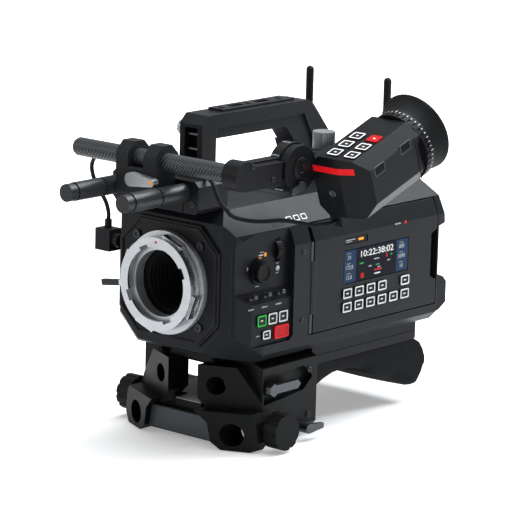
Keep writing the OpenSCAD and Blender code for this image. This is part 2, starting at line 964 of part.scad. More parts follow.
module finder_plan() {
    nose = [for (s = finder_nose_shares) [finder_x + s[0] * finder_w, finder_front + s[1] * finder_w]];
    polygon(concat([[finder_x, finder_front]], nose, [[finder_x + finder_w, finder_back + cut],
    [finder_x, finder_back + cut]]));
}

module finder_side() {
    polygon([
        [finder_front, finder_top - finder_h - cut], [finder_back + cut, finder_top - finder_h - cut],
        [finder_back + cut, finder_top + cut], [finder_front + brow_run, finder_top + cut],
        [finder_front + brow_run, finder_top], [finder_front, finder_top - brow_drop]
    ]);
}

module finder_bracket() {
    color("#141516") finder_frame() difference() {
        union() {
            rod_x(2 * pivot_r - 2 * disc_step, bracket_x, bracket_t);
            translate([bracket_x + plate_in, 0, -plate_drop])
                cube([bracket_t - plate_in, plate_len, plate_drop]);
            rod_x(pivot_pin_d, bracket_x - move_gap - pivot_pin_len, pivot_pin_len + move_gap + cut);
        }
        translate([0, tilt_u, tilt_v])
            rod_x(tilt_pin_d + 2 * run_gap, bracket_x + bracket_t - tilt_pin_len, tilt_pin_len + cut);
    }
}

module finder_key_at(i, j) {
    translate([finder_x + finder_key_x + i * finder_key_dx, 0, 0])
        translate([0, finder_front + finder_key_u + j * finder_key_du, 0])
            children();
}

module finder_housing() {
    color("#1a1b1d") finder_frame() difference() {
        union() {
            intersection() {
                along_y(finder_front, finder_len)
                    translate([finder_x, finder_top])
                        polygon(scaled(finder_section_shares, finder_w, finder_h));
                translate([0, 0, finder_top - finder_h - cut]) linear_extrude(finder_h + 2 * cut)
                    finder_plan();
                along_x(finder_x, finder_w) finder_side();
            }
            translate([finder_mid_x, 0, finder_axis]) rod_y(2 * boss_r, finder_back - cut, boss_len + cut);
        }
        translate([finder_mid_x, 0, finder_axis]) rod_y(2 * eye_r, finder_back, boss_len + cut);
        for (i = [0, 1], j = [0 : 2]) finder_key_at(i, j)
            translate([0, 0, finder_top - finder_key_sink]) linear_extrude(finder_key_sink + cut)
                square([finder_key_w + 2 * move_gap, finder_key_l + 2 * move_gap], center = true);
        tally_band(cut, 0);
    }
}

module tally_band(out, gap) {
    translate([0, 0, finder_top - brow_drop - tally_h + gap]) intersection() {
        linear_extrude(tally_h - 2 * gap) difference() {
            translate([0, -out]) finder_plan();
            translate([0, tally_t]) finder_plan();
        }
        translate([finder_x + tally_in + gap, finder_front - 2 * cut, -cut])
            cube([
                finder_nose_shares[1][0] * finder_w - tally_in - 2 * gap,
                2 * (tally_h + cut),
                tally_h + 2 * cut
            ]);
    }
}

module tally_lamp() { color("#e2262c") finder_frame() tally_band(0, run_gap); }

module finder_key(i, j) {
    finder_key_at(i, j) translate([0, 0, finder_top - finder_key_sink + finder_key_travel + move_gap])
        linear_extrude(finder_key_sink - finder_key_travel - move_gap + finder_key_up)
            rounded(finder_key_w, finder_key_l, key_r);
}

module finder_keys() {
    color("#1a1b1c") finder_frame() for (i = [0, 1], j = [0 : 2 - i]) finder_key(i, j);
}

module finder_red_key() { color("#d8242c") finder_frame() finder_key(1, 2); }

module eyepiece() {
    color("#27404f") finder_frame() translate([finder_mid_x, 0, finder_axis])
        rod_y(2 * eye_r - 2 * run_gap, finder_back, eye_t);
}

grip_r = 29.5;
grip_len = 9;
grip_teeth = 36;
tooth_w = 1.6;

module diopter_ring() {
    color("#202224") finder_frame() translate([finder_mid_x, finder_back + move_gap, finder_axis])
        rotate([-90, 0, 0]) difference() {
            cylinder(r = grip_r, h = grip_len);
            translate([0, 0, -cut]) cylinder(r = boss_r + run_gap, h = grip_len + 2 * cut);
            for (i = [0 : grip_teeth - 1])
                rotate([0, 0, i * 360 / grip_teeth]) translate([grip_r - tooth_w / 2, -tooth_w / 2, -cut])
                    cube([tooth_w, tooth_w, grip_len / 2 + cut]);
        }
}

cup_len = 16;
cup_r = 33;
cup_rise = 3;
cup_root_r = 28.5;
cup_wall = 3;
cup_lip = 2;
cup_sides = 48;
cup_seat = boss_len - grip_len - 2 * move_gap;
// Eyecup rings: how far along the axis, radius, and how far the ring's centre lies above the axis
cup_rings = [
    [0, boss_r + run_gap, 0], [0, cup_root_r, 0], [cup_len / 3, cup_root_r + cup_lip / 2, cup_rise / 6],
    [cup_len - 2 * cup_lip, cup_r - cup_lip, cup_rise * 2 / 3], [cup_len - cup_lip, cup_r, cup_rise],
    [cup_len, cup_r - cup_lip / 2, cup_rise], [cup_len - cup_lip / 2, cup_r - cup_wall, cup_rise],
    [cup_len / 3 + cup_lip, boss_r + cup_wall / 2, cup_rise / 4], [cup_seat + cup_lip, eye_r + cup_wall, 0],
    [cup_seat, eye_r + cup_wall, 0], [cup_seat, boss_r + run_gap, 0]
];

module eyecup() {
    n = len(cup_rings);
    color("#0f1011") finder_frame()
        translate([finder_mid_x, finder_back + grip_len + 2 * move_gap, finder_axis]) polyhedron(
            points = [for (r = cup_rings, k = [0 : cup_sides - 1])
                let (w = 360 * k / cup_sides) [r[1] * cos(w), r[0], r[1] * sin(w) + r[2]]],
            faces = [for (i = [0 : n - 1], k = [0 : cup_sides - 1], half = [0, 1])
                let (
                    a = i * cup_sides, b = ((i + 1) % n) * cup_sides, q = (k + 1) % cup_sides
                )
                half == 0 ? [a + k, b + q, b + k] : [a + k, a + q, b + q]],
            convexity = 4
        );
}

tilt_u = -6;
tilt_v = -12;
tilt_hub_r = 4;
tilt_t = 3.5;
tilt_pin_d = 4;
tilt_pin_len = 5;
tilt_reach = 14;
tilt_paddle = 2.6;

module tilt_lever() {
    color("#7f8285") finder_frame() translate([bracket_x + bracket_t + move_gap, tilt_u, tilt_v]) union() {
        along_x(0, tilt_t) {
            circle(tilt_hub_r);
            polygon([
                [0, tilt_paddle], [0, -tilt_paddle], [-tilt_reach + tilt_paddle, -tilt_paddle],
                [-tilt_reach, 0], [-tilt_reach + tilt_paddle, tilt_paddle]
            ]);
        }
        rod_x(tilt_pin_d, move_gap - tilt_pin_len, tilt_pin_len);
    }
}

// Viewfinder cable: two stretches of one cord, from the body's socket to the viewfinder's plug

cord_d = 3.4;
cord_sides = 8;
steep_share = 0.8;
plug_x = -90;
plug_w = 16;
plug_y = 26;
plug_l = 14;
plug_z = 20;
plug_h = 18;
plug_neck_d = 11;
relief_d = 6;
cord_body_path = [
    [-82, 26, 36], [-82, 26, 42], [-84, 25, 50], [-88, 23, 58], [-91, 20, 66], [-92, 17, 74], [-90, 14, 82],
    [-84, 11, 89], [-76, 8, 93], [-66, 6, 94], [-54, 5, 93], [-42, 5, 92], [-30, 5, 91], [-16, 6, 91],
    [0, 6, 91], [16, 6, 91], [30, 6, 91], [40, 5, 91], [47, 4, 90], [52, 3, 86], [56, 2, 80], [61, 2, 73],
    [67, 3, 68]
];
cord_end_path = [
    [67, 3, 68], [70, 3.5, 65.5], [75, 5.5, 63.5], [83, 9, 62.5], [89, 14, 62], [94, 21, 62], [98, 29, 62],
    [102, 37, 61], [106, 45, 59], [110, 52, 57], [114, 59, 57], [117, 66, 57], [118, 73.7, 58.2]
];

function unit(v) = v / norm(v);
function tangent(p, i) = unit(p[min(i + 1, len(p) - 1)] - p[max(i - 1, 0)]);
function square_to(t) = unit(cross(t, abs(t[2]) < steep_share ? [0, 0, 1] : [1, 0, 0]));

module swept(p, d) {
    n = len(p);
    points = [for (i = [0 : n - 1], k = [0 : cord_sides - 1])
        let (t = tangent(p, i), a = square_to(t), b = cross(t, a), w = 360 * k / cord_sides)
            p[i] + d / 2 * (a * cos(w) + b * sin(w))];
    faces = concat(
        [[for (k = [0 : cord_sides - 1]) k]],
        [for (i = [0 : n - 2], k = [0 : cord_sides - 1])
            let (q = (k + 1) % cord_sides)
                [i * cord_sides + k, (i + 1) * cord_sides + k, (i + 1) * cord_sides + q, i * cord_sides + q]],
        [[for (k = [cord_sides - 1 : -1 : 0]) (n - 1) * cord_sides + k]]
    );
    polyhedron(points = points, faces = faces, convexity = 4);
}

module body_plug() {
    start = cord_body_path[0];
    color("#151617") {
        translate([plug_x, plug_y - plug_l / 2, plug_z - plug_h / 2]) cube([plug_w, plug_l, plug_h]);
        translate([0, plug_y, plug_z]) rod_x(plug_neck_d, plug_x + plug_w, -body_half - plug_x - plug_w);
        translate([start[0], plug_y, plug_z + plug_h / 2])
            cylinder(d = relief_d, h = start[2] - plug_z - plug_h / 2);
    }
}

socket_w = 11;
socket_l = 12;
socket_h = 9;
socket_in_share = 0.16;

module finder_plug() {
    inset = finder_w * socket_in_share;
    color("#151617") finder_frame()
        translate([finder_x + inset, finder_front, finder_top - finder_h - socket_h])
            cube([socket_w, socket_l, socket_h]);
}

module cord_body() { color("#101112") swept(cord_body_path, cord_d); }
module cord_end() { color("#101112") swept(cord_end_path, cord_d); }

// Quick plate under the camera, and the shoulder base that it slides into

quick_w = 48;
quick_t = 6;
quick_front = 40;
quick_len = 190;
quick_lip = 3;
channel_gap = 0.4;

module quick_plate() {
    color("#9a9d9f") along_y(quick_front, quick_len) polygon([
        [-quick_w / 2, -body_drop - quick_t], [quick_w / 2, -body_drop - quick_t],
        [quick_w / 2 - quick_lip, -body_drop], [-quick_w / 2 + quick_lip, -body_drop]
    ]);
}

channel_t = 6;
base_front = 54;
base_back = 122;
deck_top = -103;
deck_t = 8;
wall_in = 46;
wall_out = 64;
wall_low = -129;
wall_bevel = 6;
rail_back = 20;
tongue_half = 14;
tongue_y = 36;
carrier_back = 258;
recess_depth = 6;
recess_in = 1.5;
recess_top = -74;
recess_h = 25;
recess_shares = [[0, 1], [0.75, 1], [0.92, 0.6], [0.75, 0.2], [0, 0]];
knob_right_y = 59;
knob_right_z = -117;
knob_left_y = 59;
knob_left_z = -115;
base_pin_d = 6;
base_pin_len = 8;
lever_y = 61.5;
side_lever_z = -86;
side_pin_d = 5;
side_pin_len = 6;
cam_y = 100;
cam_z = -124;
cam_pin_d = 4;
cam_pin_len = 6;

function channel_half(z) = quick_w / 2 - quick_lip * (z + body_drop + quick_t) / quick_t + channel_gap;

module channel_section(left, right, floor_t) {
    top = -body_drop - channel_gap;
    under = top - quick_t;
    polygon([
        [-left, top], [-channel_half(top), top], [-channel_half(under), under], [channel_half(under), under],
        [channel_half(top), top], [right, top], [right, under - floor_t], [-left, under - floor_t]
    ]);
}

module base_frame() {
    top = -body_drop - channel_gap;
    reach = base_back - base_front;
    color("#1c1e20") difference() {
        union() {
            // Channel that the quick plate slides in, and the carrier of the shoulder pad behind it
            along_y(base_front, reach) channel_section(wall_in, wall_in + cut, channel_t);
            along_y(base_back - cut, carrier_back - base_back + cut)
                channel_section(pad_w / 2, pad_w / 2, channel_t + quick_lip);
            // Short wall on the far side
            translate([-wall_out, base_front, wall_low])
                cube([wall_out - wall_in, rail_back, top - wall_bevel - wall_low]);
            // Side wall
            along_y(base_front, reach) polygon([
                [wall_in, top], [wall_out, top - wall_bevel], [wall_out, wall_low + wall_bevel],
                [wall_out - wall_bevel, wall_low], [wall_in, wall_low]
            ]);
            // Deck with its tongue between the brackets, and the low left rail
            translate([-wall_in, base_front, deck_top - deck_t]) cube([2 * wall_in + cut, reach, deck_t]);
            translate([-tongue_half, tongue_y, deck_top - deck_t])
                cube([2 * tongue_half, base_front - tongue_y + cut, deck_t]);
            translate([-wall_out, base_front, wall_low])
                cube([wall_out - wall_in + cut, reach - rail_back, deck_top - wall_low]);
        }
        // Recess of the side lever, and the bores of the lever and knob pins
        along_x(wall_out - recess_depth, recess_depth + cut)
            translate([base_front + recess_in, recess_top - recess_h])
                polygon(scaled(recess_shares, reach - recess_in, recess_h));
        translate([0, lever_y, side_lever_z])
            rod_x(side_pin_d + 2 * run_gap, wall_out - recess_depth - side_pin_len, side_pin_len + cut);
        translate([0, cam_y, cam_z])
            rod_x(cam_pin_d + 2 * run_gap, wall_out - cam_pin_len, cam_pin_len + cut);
        translate([0, knob_right_y, knob_right_z])
            rod_x(base_pin_d + 2 * run_gap, wall_out - base_pin_len, base_pin_len + cut);
        translate([0, knob_left_y, knob_left_z])
            rod_x(base_pin_d + 2 * run_gap, -wall_out - cut, base_pin_len + cut);
    }
}

// Brackets for the lower rods: one section, with a splayed front face for each hole, joined by a bar
bracket_reach = 72;
bracket_shares = [
    [0.22, -0.512], [0.22, -0.72], [0.46, -0.84], [0.5, -0.955], [0.61, -1], [0.92, -1],
    [1, -0.94], [0.97, -0.82], [0.86, -0.69], [0.63, -0.512]
];
bracket_split = -103;
upper_face_y = 36;
lower_face_y = 31;
splay = 25;
upper_reach = 67;
rod_fit = 0.1;
bar_half = 38;
bar_y = 30;
bar_t = 6;
bar_low = -130;
bar_h = 20;

module splayed(x, y, far, low, high) {
    translate([0, 0, low]) linear_extrude(high - low) polygon([
        [0, y - x * tan(splay)], [far, y + (far - x) * tan(splay)], [far, base_front], [0, base_front]
    ]);
}

module bracket_side() {
    intersection() {
        along_y(0, base_front) polygon(scaled(bracket_shares, bracket_reach, floor_drop));
        union() {
            splayed(rod_half, upper_face_y, upper_reach, bracket_split - cut, 0);
            splayed(studio_pitch / 2, lower_face_y, bracket_reach + cut, -floor_drop - cut, bracket_split);
        }
    }
}

module front_bracket() {
    color("#1a1c1e") difference() {
        union() {
            bracket_side();
            mirror([1, 0, 0]) bracket_side();
            translate([-bar_half, bar_y, bar_low]) cube([2 * bar_half, bar_t, bar_h]);
        }
        for (s = [-1, 1]) {
            translate([s * rod_half, 0, -rod_drop]) rod_y(rod_d + rod_fit, 0, base_front + cut);
            translate([s * studio_pitch / 2, 0, -studio_drop]) rod_y(studio_d + rod_fit, 0, base_front + cut);
        }
    }
}

base_knob_r = 15;
base_knob_len = 14;
base_knob_off = 9;
base_flutes = 10;
base_flute_r = 2;

module base_knob() {
    color("#101112") {
        rod_x(base_pin_d, move_gap - base_pin_len, base_pin_len + base_knob_off);
        translate([base_knob_off, 0, 0]) fluted_knob(base_knob_r, base_knob_len, base_flutes, base_flute_r);
    }
}

module base_knob_right() { translate([wall_out, knob_right_y, knob_right_z]) base_knob(); }
module base_knob_left() { translate([-wall_out, knob_left_y, knob_left_z]) mirror([1, 0, 0]) base_knob(); }

nut_r = 5.5;
nut_sides = 6;
nut_len = 12;
arm_len = 34;
arm_w = 7;
arm_thick = 5;

module side_lever() {
    seat = wall_out - recess_depth;
    color("#b4b7b9") translate([0, lever_y, side_lever_z]) {
        rod_x(side_pin_d, seat - side_pin_len + move_gap, side_pin_len);
        translate([seat + move_gap, 0, 0]) rotate([0, 90, 0])
            cylinder(r = nut_r, h = nut_len, $fn = nut_sides);
        along_x(wall_out + move_gap, arm_thick) polygon([
            [0, arm_w / 2], [arm_len - arm_w / 2, arm_w / 2], [arm_len, 0],
            [arm_len - arm_w / 2, -arm_w / 2], [0, -arm_w / 2]
        ]);
    }
}

cam_r = 4;
cam_len = 12;
cam_reach = 18;
cam_t = 4;

module cam_lever() {
    color("#b4b7b9") translate([wall_out + move_gap, cam_y, cam_z]) {
        rod_x(cam_pin_d, -cam_pin_len + move_gap, cam_pin_len);
        rod_x(2 * cam_r, 0, cam_len);
        along_x(cam_len - cam_t, cam_t)
            polygon([[0, cam_r], [cam_reach, cam_r / 2], [cam_reach, -cam_r / 2], [0, -cam_r]]);
    }
}

// Shoulder pad: sections along Y, each with a crowned sole and rounded lower edges.
// Shares: how far back, how deep the top lies, how deep the sole lies.
pad_front = 122.3;
pad_len = 150;
pad_depth = 43;
pad_edge_r = 9;
pad_crown = 1.5;
pad_waist = 2.5;
pad_arc = 30;
pad_shares = [
    [0, 0, 0.6], [0.1, 0, 0.44], [0.2, 0, 0.32], [0.3, 0, 0.29], [0.4, 0, 0.32], [0.49, 0, 0.4],
    [0.56, 0, 0.54],
    [0.66, 0, 0.66], [0.76, 0, 0.74], [0.84, 0, 0.9], [0.9, 0, 0.99], [0.95, 0.1, 1], [0.98, 0.25, 0.85],
    [1, 0.42, 0.62]
];

function pad_section(s) =
    let (
        z0 = -body_drop - quick_t - channel_gap - channel_t - quick_lip - move_gap,
        y = pad_front + s[0] * pad_len,
        top = z0 - s[1] * pad_depth,
        sole = z0 - s[2] * pad_depth,
        r = min(pad_edge_r, (top - sole) / 2),
        w = pad_w / 2 - pad_waist * sin(180 * s[0]),
        right = [for (a = [0 : pad_arc : 90]) [w - r + r * cos(a), y, sole + r - r * sin(a)]],
        left = [for (a = [90 : -pad_arc : 0]) [-w + r - r * cos(a), y, sole + r - r * sin(a)]]
    )
    concat([[w, y, top]], right, [[0, y, sole - pad_crown]], left, [[-w, y, top]]);

module shoulder_pad() {
    rings = [for (s = pad_shares) pad_section(s)];
    n = len(rings[0]);
    m = len(rings);
    color("#17181a") polyhedron(
        points = [for (r = rings) each r],
        faces = concat(
            [[for (k = [0 : n - 1]) k]],
            [for (i = [0 : m - 2],
            k = [0 : n - 1]) let (q = (k + 1) % n) [i * n + k, (i + 1) * n + k, (i + 1) * n + q]],
            [for (i = [0 : m - 2],
            k = [0 : n - 1]) let (q = (k + 1) % n) [i * n + k, (i + 1) * n + q, i * n + q]],
            [[for (k = [n - 1 : -1 : 0]) (m - 1) * n + k]]
        ),
        convexity = 4
    );
}

body_shell();
front_plate();
front_screws();
lens_flange();
lock_ring();
sensor_block();
control_panel();
menu_knob();
thumb_wheel();
toggle_front();
toggle_middle();
toggle_rear();
key_power();
key_middle();
key_rear();
key_small();
record_button();
hinge_cover();
hinge_pin();
display_door();
status_screen();
touch_screen();
door_keys_upper();
door_keys_lower();
rear_module();
battery_plate();
antenna_base();
antenna_left();
antenna_right();
top_handle();
handle_knob();
rod_block();
rod_left();
rod_right();
tube_clamp();
clamp_lever();
cross_tube();
elbow_arm();
finder_bracket();
finder_housing();
tally_lamp();
finder_keys();
finder_red_key();
eyepiece();
diopter_ring();
eyecup();
finder_knob();
tilt_lever();
body_plug();
finder_plug();
cord_body();
cord_end();
quick_plate();
base_frame();
front_bracket();
base_knob_left();
base_knob_right();
side_lever();
cam_lever();
shoulder_pad();
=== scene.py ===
# Looks of the digital cinema camera: finishes, soft parts, cable, small fittings, light and camera.
# Sizes are in mm and angles in degrees; x points to the display's side, y to the rear and z up.
import math

import bmesh
import bpy
from mathutils import Euler, Matrix, Vector


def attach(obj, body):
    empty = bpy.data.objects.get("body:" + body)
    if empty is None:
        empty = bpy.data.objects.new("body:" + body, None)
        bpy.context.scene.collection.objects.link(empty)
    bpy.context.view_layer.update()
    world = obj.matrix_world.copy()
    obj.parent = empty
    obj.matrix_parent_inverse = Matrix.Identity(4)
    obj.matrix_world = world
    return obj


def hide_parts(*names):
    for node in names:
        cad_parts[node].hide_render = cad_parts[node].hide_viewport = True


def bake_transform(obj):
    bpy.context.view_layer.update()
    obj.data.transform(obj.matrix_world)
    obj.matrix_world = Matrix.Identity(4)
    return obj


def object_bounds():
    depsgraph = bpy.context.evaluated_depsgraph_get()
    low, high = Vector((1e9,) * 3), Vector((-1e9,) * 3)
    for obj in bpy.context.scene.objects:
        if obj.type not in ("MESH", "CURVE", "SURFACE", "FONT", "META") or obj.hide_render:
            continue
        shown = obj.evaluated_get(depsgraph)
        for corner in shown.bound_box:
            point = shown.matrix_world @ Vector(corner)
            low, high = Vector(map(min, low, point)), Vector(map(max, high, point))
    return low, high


milli = 0.001
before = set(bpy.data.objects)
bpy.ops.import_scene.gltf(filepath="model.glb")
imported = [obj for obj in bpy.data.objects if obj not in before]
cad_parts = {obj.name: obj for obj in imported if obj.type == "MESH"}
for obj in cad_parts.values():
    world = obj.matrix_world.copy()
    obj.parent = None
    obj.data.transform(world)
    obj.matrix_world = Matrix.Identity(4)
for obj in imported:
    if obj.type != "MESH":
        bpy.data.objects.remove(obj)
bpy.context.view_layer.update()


def mm(*values):
    return Vector(values) * milli


# Camera: the view of the photograph, solved from square edges of the object
view = {
    "azimuth": 40.5,
    "elevation": 12.2,
    "roll": 1.5,
    "focal": 3200.0,  # in pixels of a frame that is frameWidth wide
    "frameWidth": 513.0,
    "sensor": 36.0,
    "offset": Vector((-79.98, -24.34, -2541.74)),  # the origin as the camera sees it
    "originShift": Vector((0, 6, 0)),
    "clip": (0.05, 20),  # in metres
}


def makeCamera():
    a = math.radians(view["azimuth"])
    e = math.radians(view["elevation"])
    back = Vector((math.sin(a) * math.cos(e), -math.cos(a) * math.cos(e), math.sin(e)))
    right = Vector((math.cos(a), math.sin(a), 0))
    turn = Matrix((right, back.cross(right), back))
    eye = (turn.transposed() @ -view["offset"] - view["originShift"]) * milli
    camera = bpy.data.cameras.new("camera")
    camera.sensor_width = view["sensor"]
    camera.lens = view["focal"] * view["sensor"] / view["frameWidth"]
    camera.clip_start, camera.clip_end = view["clip"]
    obj = bpy.data.objects.new("camera", camera)
    bpy.context.scene.collection.objects.link(obj)
    spin = Matrix.Rotation(math.radians(view["roll"]), 4, "Z")
    obj.matrix_world = Matrix.Translation(eye) @ turn.transposed().to_4x4() @ spin
    bpy.context.scene.camera = obj


# Shader sockets with plain arithmetic: each expression adds its Math nodes
class Sock:
    def __init__(self, tree, out):
        self.tree = tree
        self.out = out

    def math(self, kind, *others):
        return addNode(self.tree, "Math", {"operation": kind}, dict(enumerate((self, *others))))

    def __add__(self, other):
        return self.math("ADD", other)

    def __radd__(self, other):
        return self.math("ADD", other)

    def __sub__(self, other):
        return self.math("SUBTRACT", other)

    def __rsub__(self, other):
        return addNode(self.tree, "Math", {"operation": "SUBTRACT"}, {0: other, 1: self})

    def __mul__(self, other):
        return self.math("MULTIPLY", other)

    def __rmul__(self, other):
        return self.math("MULTIPLY", other)

    def __gt__(self, other):
        return self.math("GREATER_THAN", other)

    def clamp(self):
        return self.math("MAXIMUM", 0.0).math("MINIMUM", 1.0)


def feed(tree, socket, value):
    if isinstance(value, Sock):
        tree.links.new(value.out, socket)
    elif isinstance(value, (tuple, list)) and socket.type == "RGBA":
        socket.default_value = (*value, 1)
    else:
        socket.default_value = value


def addNode(tree, kind, settings=None, sockets=None, out=0):
    n = tree.nodes.new("ShaderNode" + kind)
    for key, value in (settings or {}).items():
        setattr(n, key, value)
    for key, value in (sockets or {}).items():
        feed(tree, n.inputs[key], value)
    return Sock(tree, n.outputs[out])


# One material on a Principled shader, patterned on Object coordinates
class Shader:
    def __init__(self, name):
        self.mat = bpy.data.materials.new(name)
        self.mat.use_nodes = True
        self.tree = self.mat.node_tree
        self.principled = self.tree.nodes["Principled BSDF"]
        self.coords = self.node("TexCoord", out="Object")

    def node(self, kind, settings=None, sockets=None, out=0):
        return addNode(self.tree, kind, settings, sockets, out)

    def xyz(self):
        split = self.node("SeparateXYZ", sockets={0: self.coords})
        return [Sock(self.tree, o) for o in split.out.node.outputs]

    def noise(self, scale, detail=3.0, rough=0.55, stretch=None):
        source = self.coords
        if stretch:
            source = self.node("Mapping", sockets={"Vector": source, "Scale": stretch})
        sockets = {"Scale": scale, "Detail": detail, "Roughness": rough, "Vector": source}
        return self.node("TexNoise", sockets=sockets, out="Fac")

    def mix(self, factor, low, high):
        return self.node("Mix", {"data_type": "RGBA"}, {0: factor, 6: low, 7: high}, out=2)

    def bevel(self, radius):
        return self.node("Bevel", {"samples": 6}, {"Radius": radius})

    # 1 on convex edges, where the rounded normal leaves the flat one
    def edge(self, radius):
        flat = self.node("NewGeometry", out="Normal")
        rounded = self.bevel(radius)
        near = self.node("VectorMath", {"operation": "DOT_PRODUCT"}, {0: rounded, 1: flat}, out="Value")
        return ((1 - near) * 5).clamp()

    def bump(self, height, strength, distance, radius=None):
        sockets = {"Strength": strength, "Distance": distance, "Height": height}
        if radius:
            sockets["Normal"] = self.bevel(radius)
        self.set(Normal=self.node("Bump", sockets=sockets))

    def set(self, **values):
        for key, value in values.items():
            feed(self.tree, self.principled.inputs[key.replace("_", " ")], value)


def scaled(colour, factor):
    return tuple(min(1, c * factor) for c in colour)


# Powder coat: fine grain, faint cloudiness, and convex edges lifted lighter in patches, partly as rubbed
# wear and partly as a painted highlight
coat = {
    "cloud": 38,
    "grain": 1400,
    "edgePatchScale": 160,
    "radius": 0.45 * milli,
    "depth": 0.06 * milli,
    "mirror": 0.12,
}


def paint(name, colour, rough, edgeWearAndHighlight, metallic=0.0):
    s = Shader(name)
    cloud = s.noise(coat["cloud"], 4)
    speck = s.noise(coat["grain"], 2)
    base = s.mix(cloud, scaled(colour, 0.86), scaled(colour, 1.14))
    # Convex edges are lifted towards a lighter colour: rubbed wear and a painted edge highlight
    rubbedAndLitEdge = (s.edge(coat["radius"] * 1.6) * (s.noise(coat["edgePatchScale"], 4) * 1.3 - 0.1).clamp()).clamp()
    s.set(Base_Color=s.mix(rubbedAndLitEdge, base, scaled(colour, edgeWearAndHighlight)))
    s.set(Roughness=cloud * 0.16 + (rough - 0.08), Metallic=metallic, Specular_IOR_Level=coat["mirror"])
    s.bump(speck, 0.22, coat["depth"], coat["radius"])
    return s.mat


# Bare metal with a fine brushed or turned grain and a few scuffs
bare = {"brush": 900, "scuff": 90, "radius": 0.3 * milli, "depth": 0.03 * milli}


def metal(name, colour, rough, stretch=(1, 1, 1)):
    s = Shader(name)
    grain = s.noise(bare["brush"], 3, stretch=stretch)
    scuff = s.noise(bare["scuff"], 5)
    s.set(Base_Color=s.mix(scuff, scaled(colour, 0.84), colour), Metallic=1.0)
    s.set(Roughness=(grain * 0.18 + scuff * 0.1 + (rough - 0.12)).clamp())
    s.bump(grain, 0.12, bare["depth"], bare["radius"])
    return s.mat


# Turned steel on the lens ring, with its lever blackened
ringSteel = {"leverFrom": 42.6, "dull": (0.34, 0.35, 0.365), "clear": (0.54, 0.55, 0.565),
             "lever": (0.03, 0.032, 0.035)}


def ringMetal():
    s = Shader("steelLockRing")
    x, _, z = s.xyz()
    lever = (x * x + z * z).math("SQRT") > ringSteel["leverFrom"] * milli
    grain = s.noise(bare["brush"], 3, stretch=(1, 6, 1))
    scuff = s.noise(bare["scuff"], 5)
    steel = s.mix(scuff, ringSteel["dull"], ringSteel["clear"])
    s.set(Base_Color=s.mix(lever, steel, ringSteel["lever"]), Metallic=1.0)
    s.set(Roughness=(grain * 0.18 + scuff * 0.12 + 0.1).clamp())
    s.bump(grain, 0.12, bare["depth"], bare["radius"])
    return s.mat


# Rubber, foam and moulded plastic: small cells and uneven dye
def rubber(name, colour, rough=0.62, grain=700, depth=0.12):
    s = Shader(name)
    cells = s.noise(grain, 3)
    cloud = s.noise(30, 4)
    s.set(Base_Color=s.mix(cloud, scaled(colour, 0.8), scaled(colour, 1.25)))
    s.set(Roughness=cells * 0.14 + (rough - 0.07), Specular_IOR_Level=0.12)
    s.bump(cells, 0.35, depth * milli)
    return s.mat


# Woven carbon round a tube: a two-by-two twill that runs slantwise, under clear lacquer
weave = {"radius": 7.5, "tow": 2.3, "dark": (0.005, 0.0055, 0.006), "pale": (0.085, 0.09, 0.098)}


def carbon(name, axis, centre, pale=1.0):
    s = Shader(name)
    x, y, z = s.xyz()
    along, across = ((x, y), (y, x))[axis]
    arc = (z - centre[1] * milli).math("ARCTAN2", across - centre[0] * milli) * (weave["radius"] * milli)
    slant = math.tau / math.sqrt(2) / (weave["tow"] * milli)
    band = ((along + arc) * slant).math("SINE") * 0.5 + 0.5
    cross = ((along - arc) * slant).math("SINE") * 0.5 + 0.5
    shade = (band * (cross * 0.35 + 0.65) * 1.35 - 0.2).clamp()
    s.set(Base_Color=s.mix(shade, weave["dark"], scaled(weave["pale"], pale)))
    s.set(Roughness=shade * 0.12 + 0.36, Specular_IOR_Level=0.2, Coat_Weight=0.15, Coat_Roughness=0.25)
    s.bump(shade, 0.3, 0.1 * milli)
    return s.mat


# Prints, lamps and lit tiles; on prints the emission is a painted glow, on lamps and the screen it is real
def glow(name, colour, strength, rough=0.3):
    s = Shader(name)
    s.set(Base_Color=s.mix(s.noise(220, 2), scaled(colour, 0.7), colour))
    s.set(Emission_Color=colour, Emission_Strength=strength, Roughness=rough, Specular_IOR_Level=0.12)
    return s.mat


def glass(name, colour, rough=0.06, mirror=0.35):
    s = Shader(name)
    smear = s.noise(55, 4)
    s.set(Base_Color=s.mix(smear, colour, tuple(min(1, c * 1.5 + 0.002) for c in colour)))
    s.set(Roughness=smear * 0.05 + rough)
    s.set(Specular_IOR_Level=mirror, Coat_Weight=mirror * 0.7, Coat_Roughness=0.05)
    return s.mat


# A key's cap: everything above a level in x is its printed or lit rim
def rimmed(name, face, rim, level, light=0.0):
    s = Shader(name)
    high = s.xyz()[0] > level * milli
    cloud = s.noise(300, 2)
    colour = s.mix(high, s.mix(cloud, scaled(face, 0.8), face), rim)
    s.set(Base_Color=colour, Roughness=cloud * 0.1 + 0.42, Specular_IOR_Level=0.15)
    if light:
        s.set(Emission_Color=colour, Emission_Strength=light)
    s.bump(s.noise(1500, 2), 0.15, 0.04 * milli, 0.25 * milli)
    return s.mat
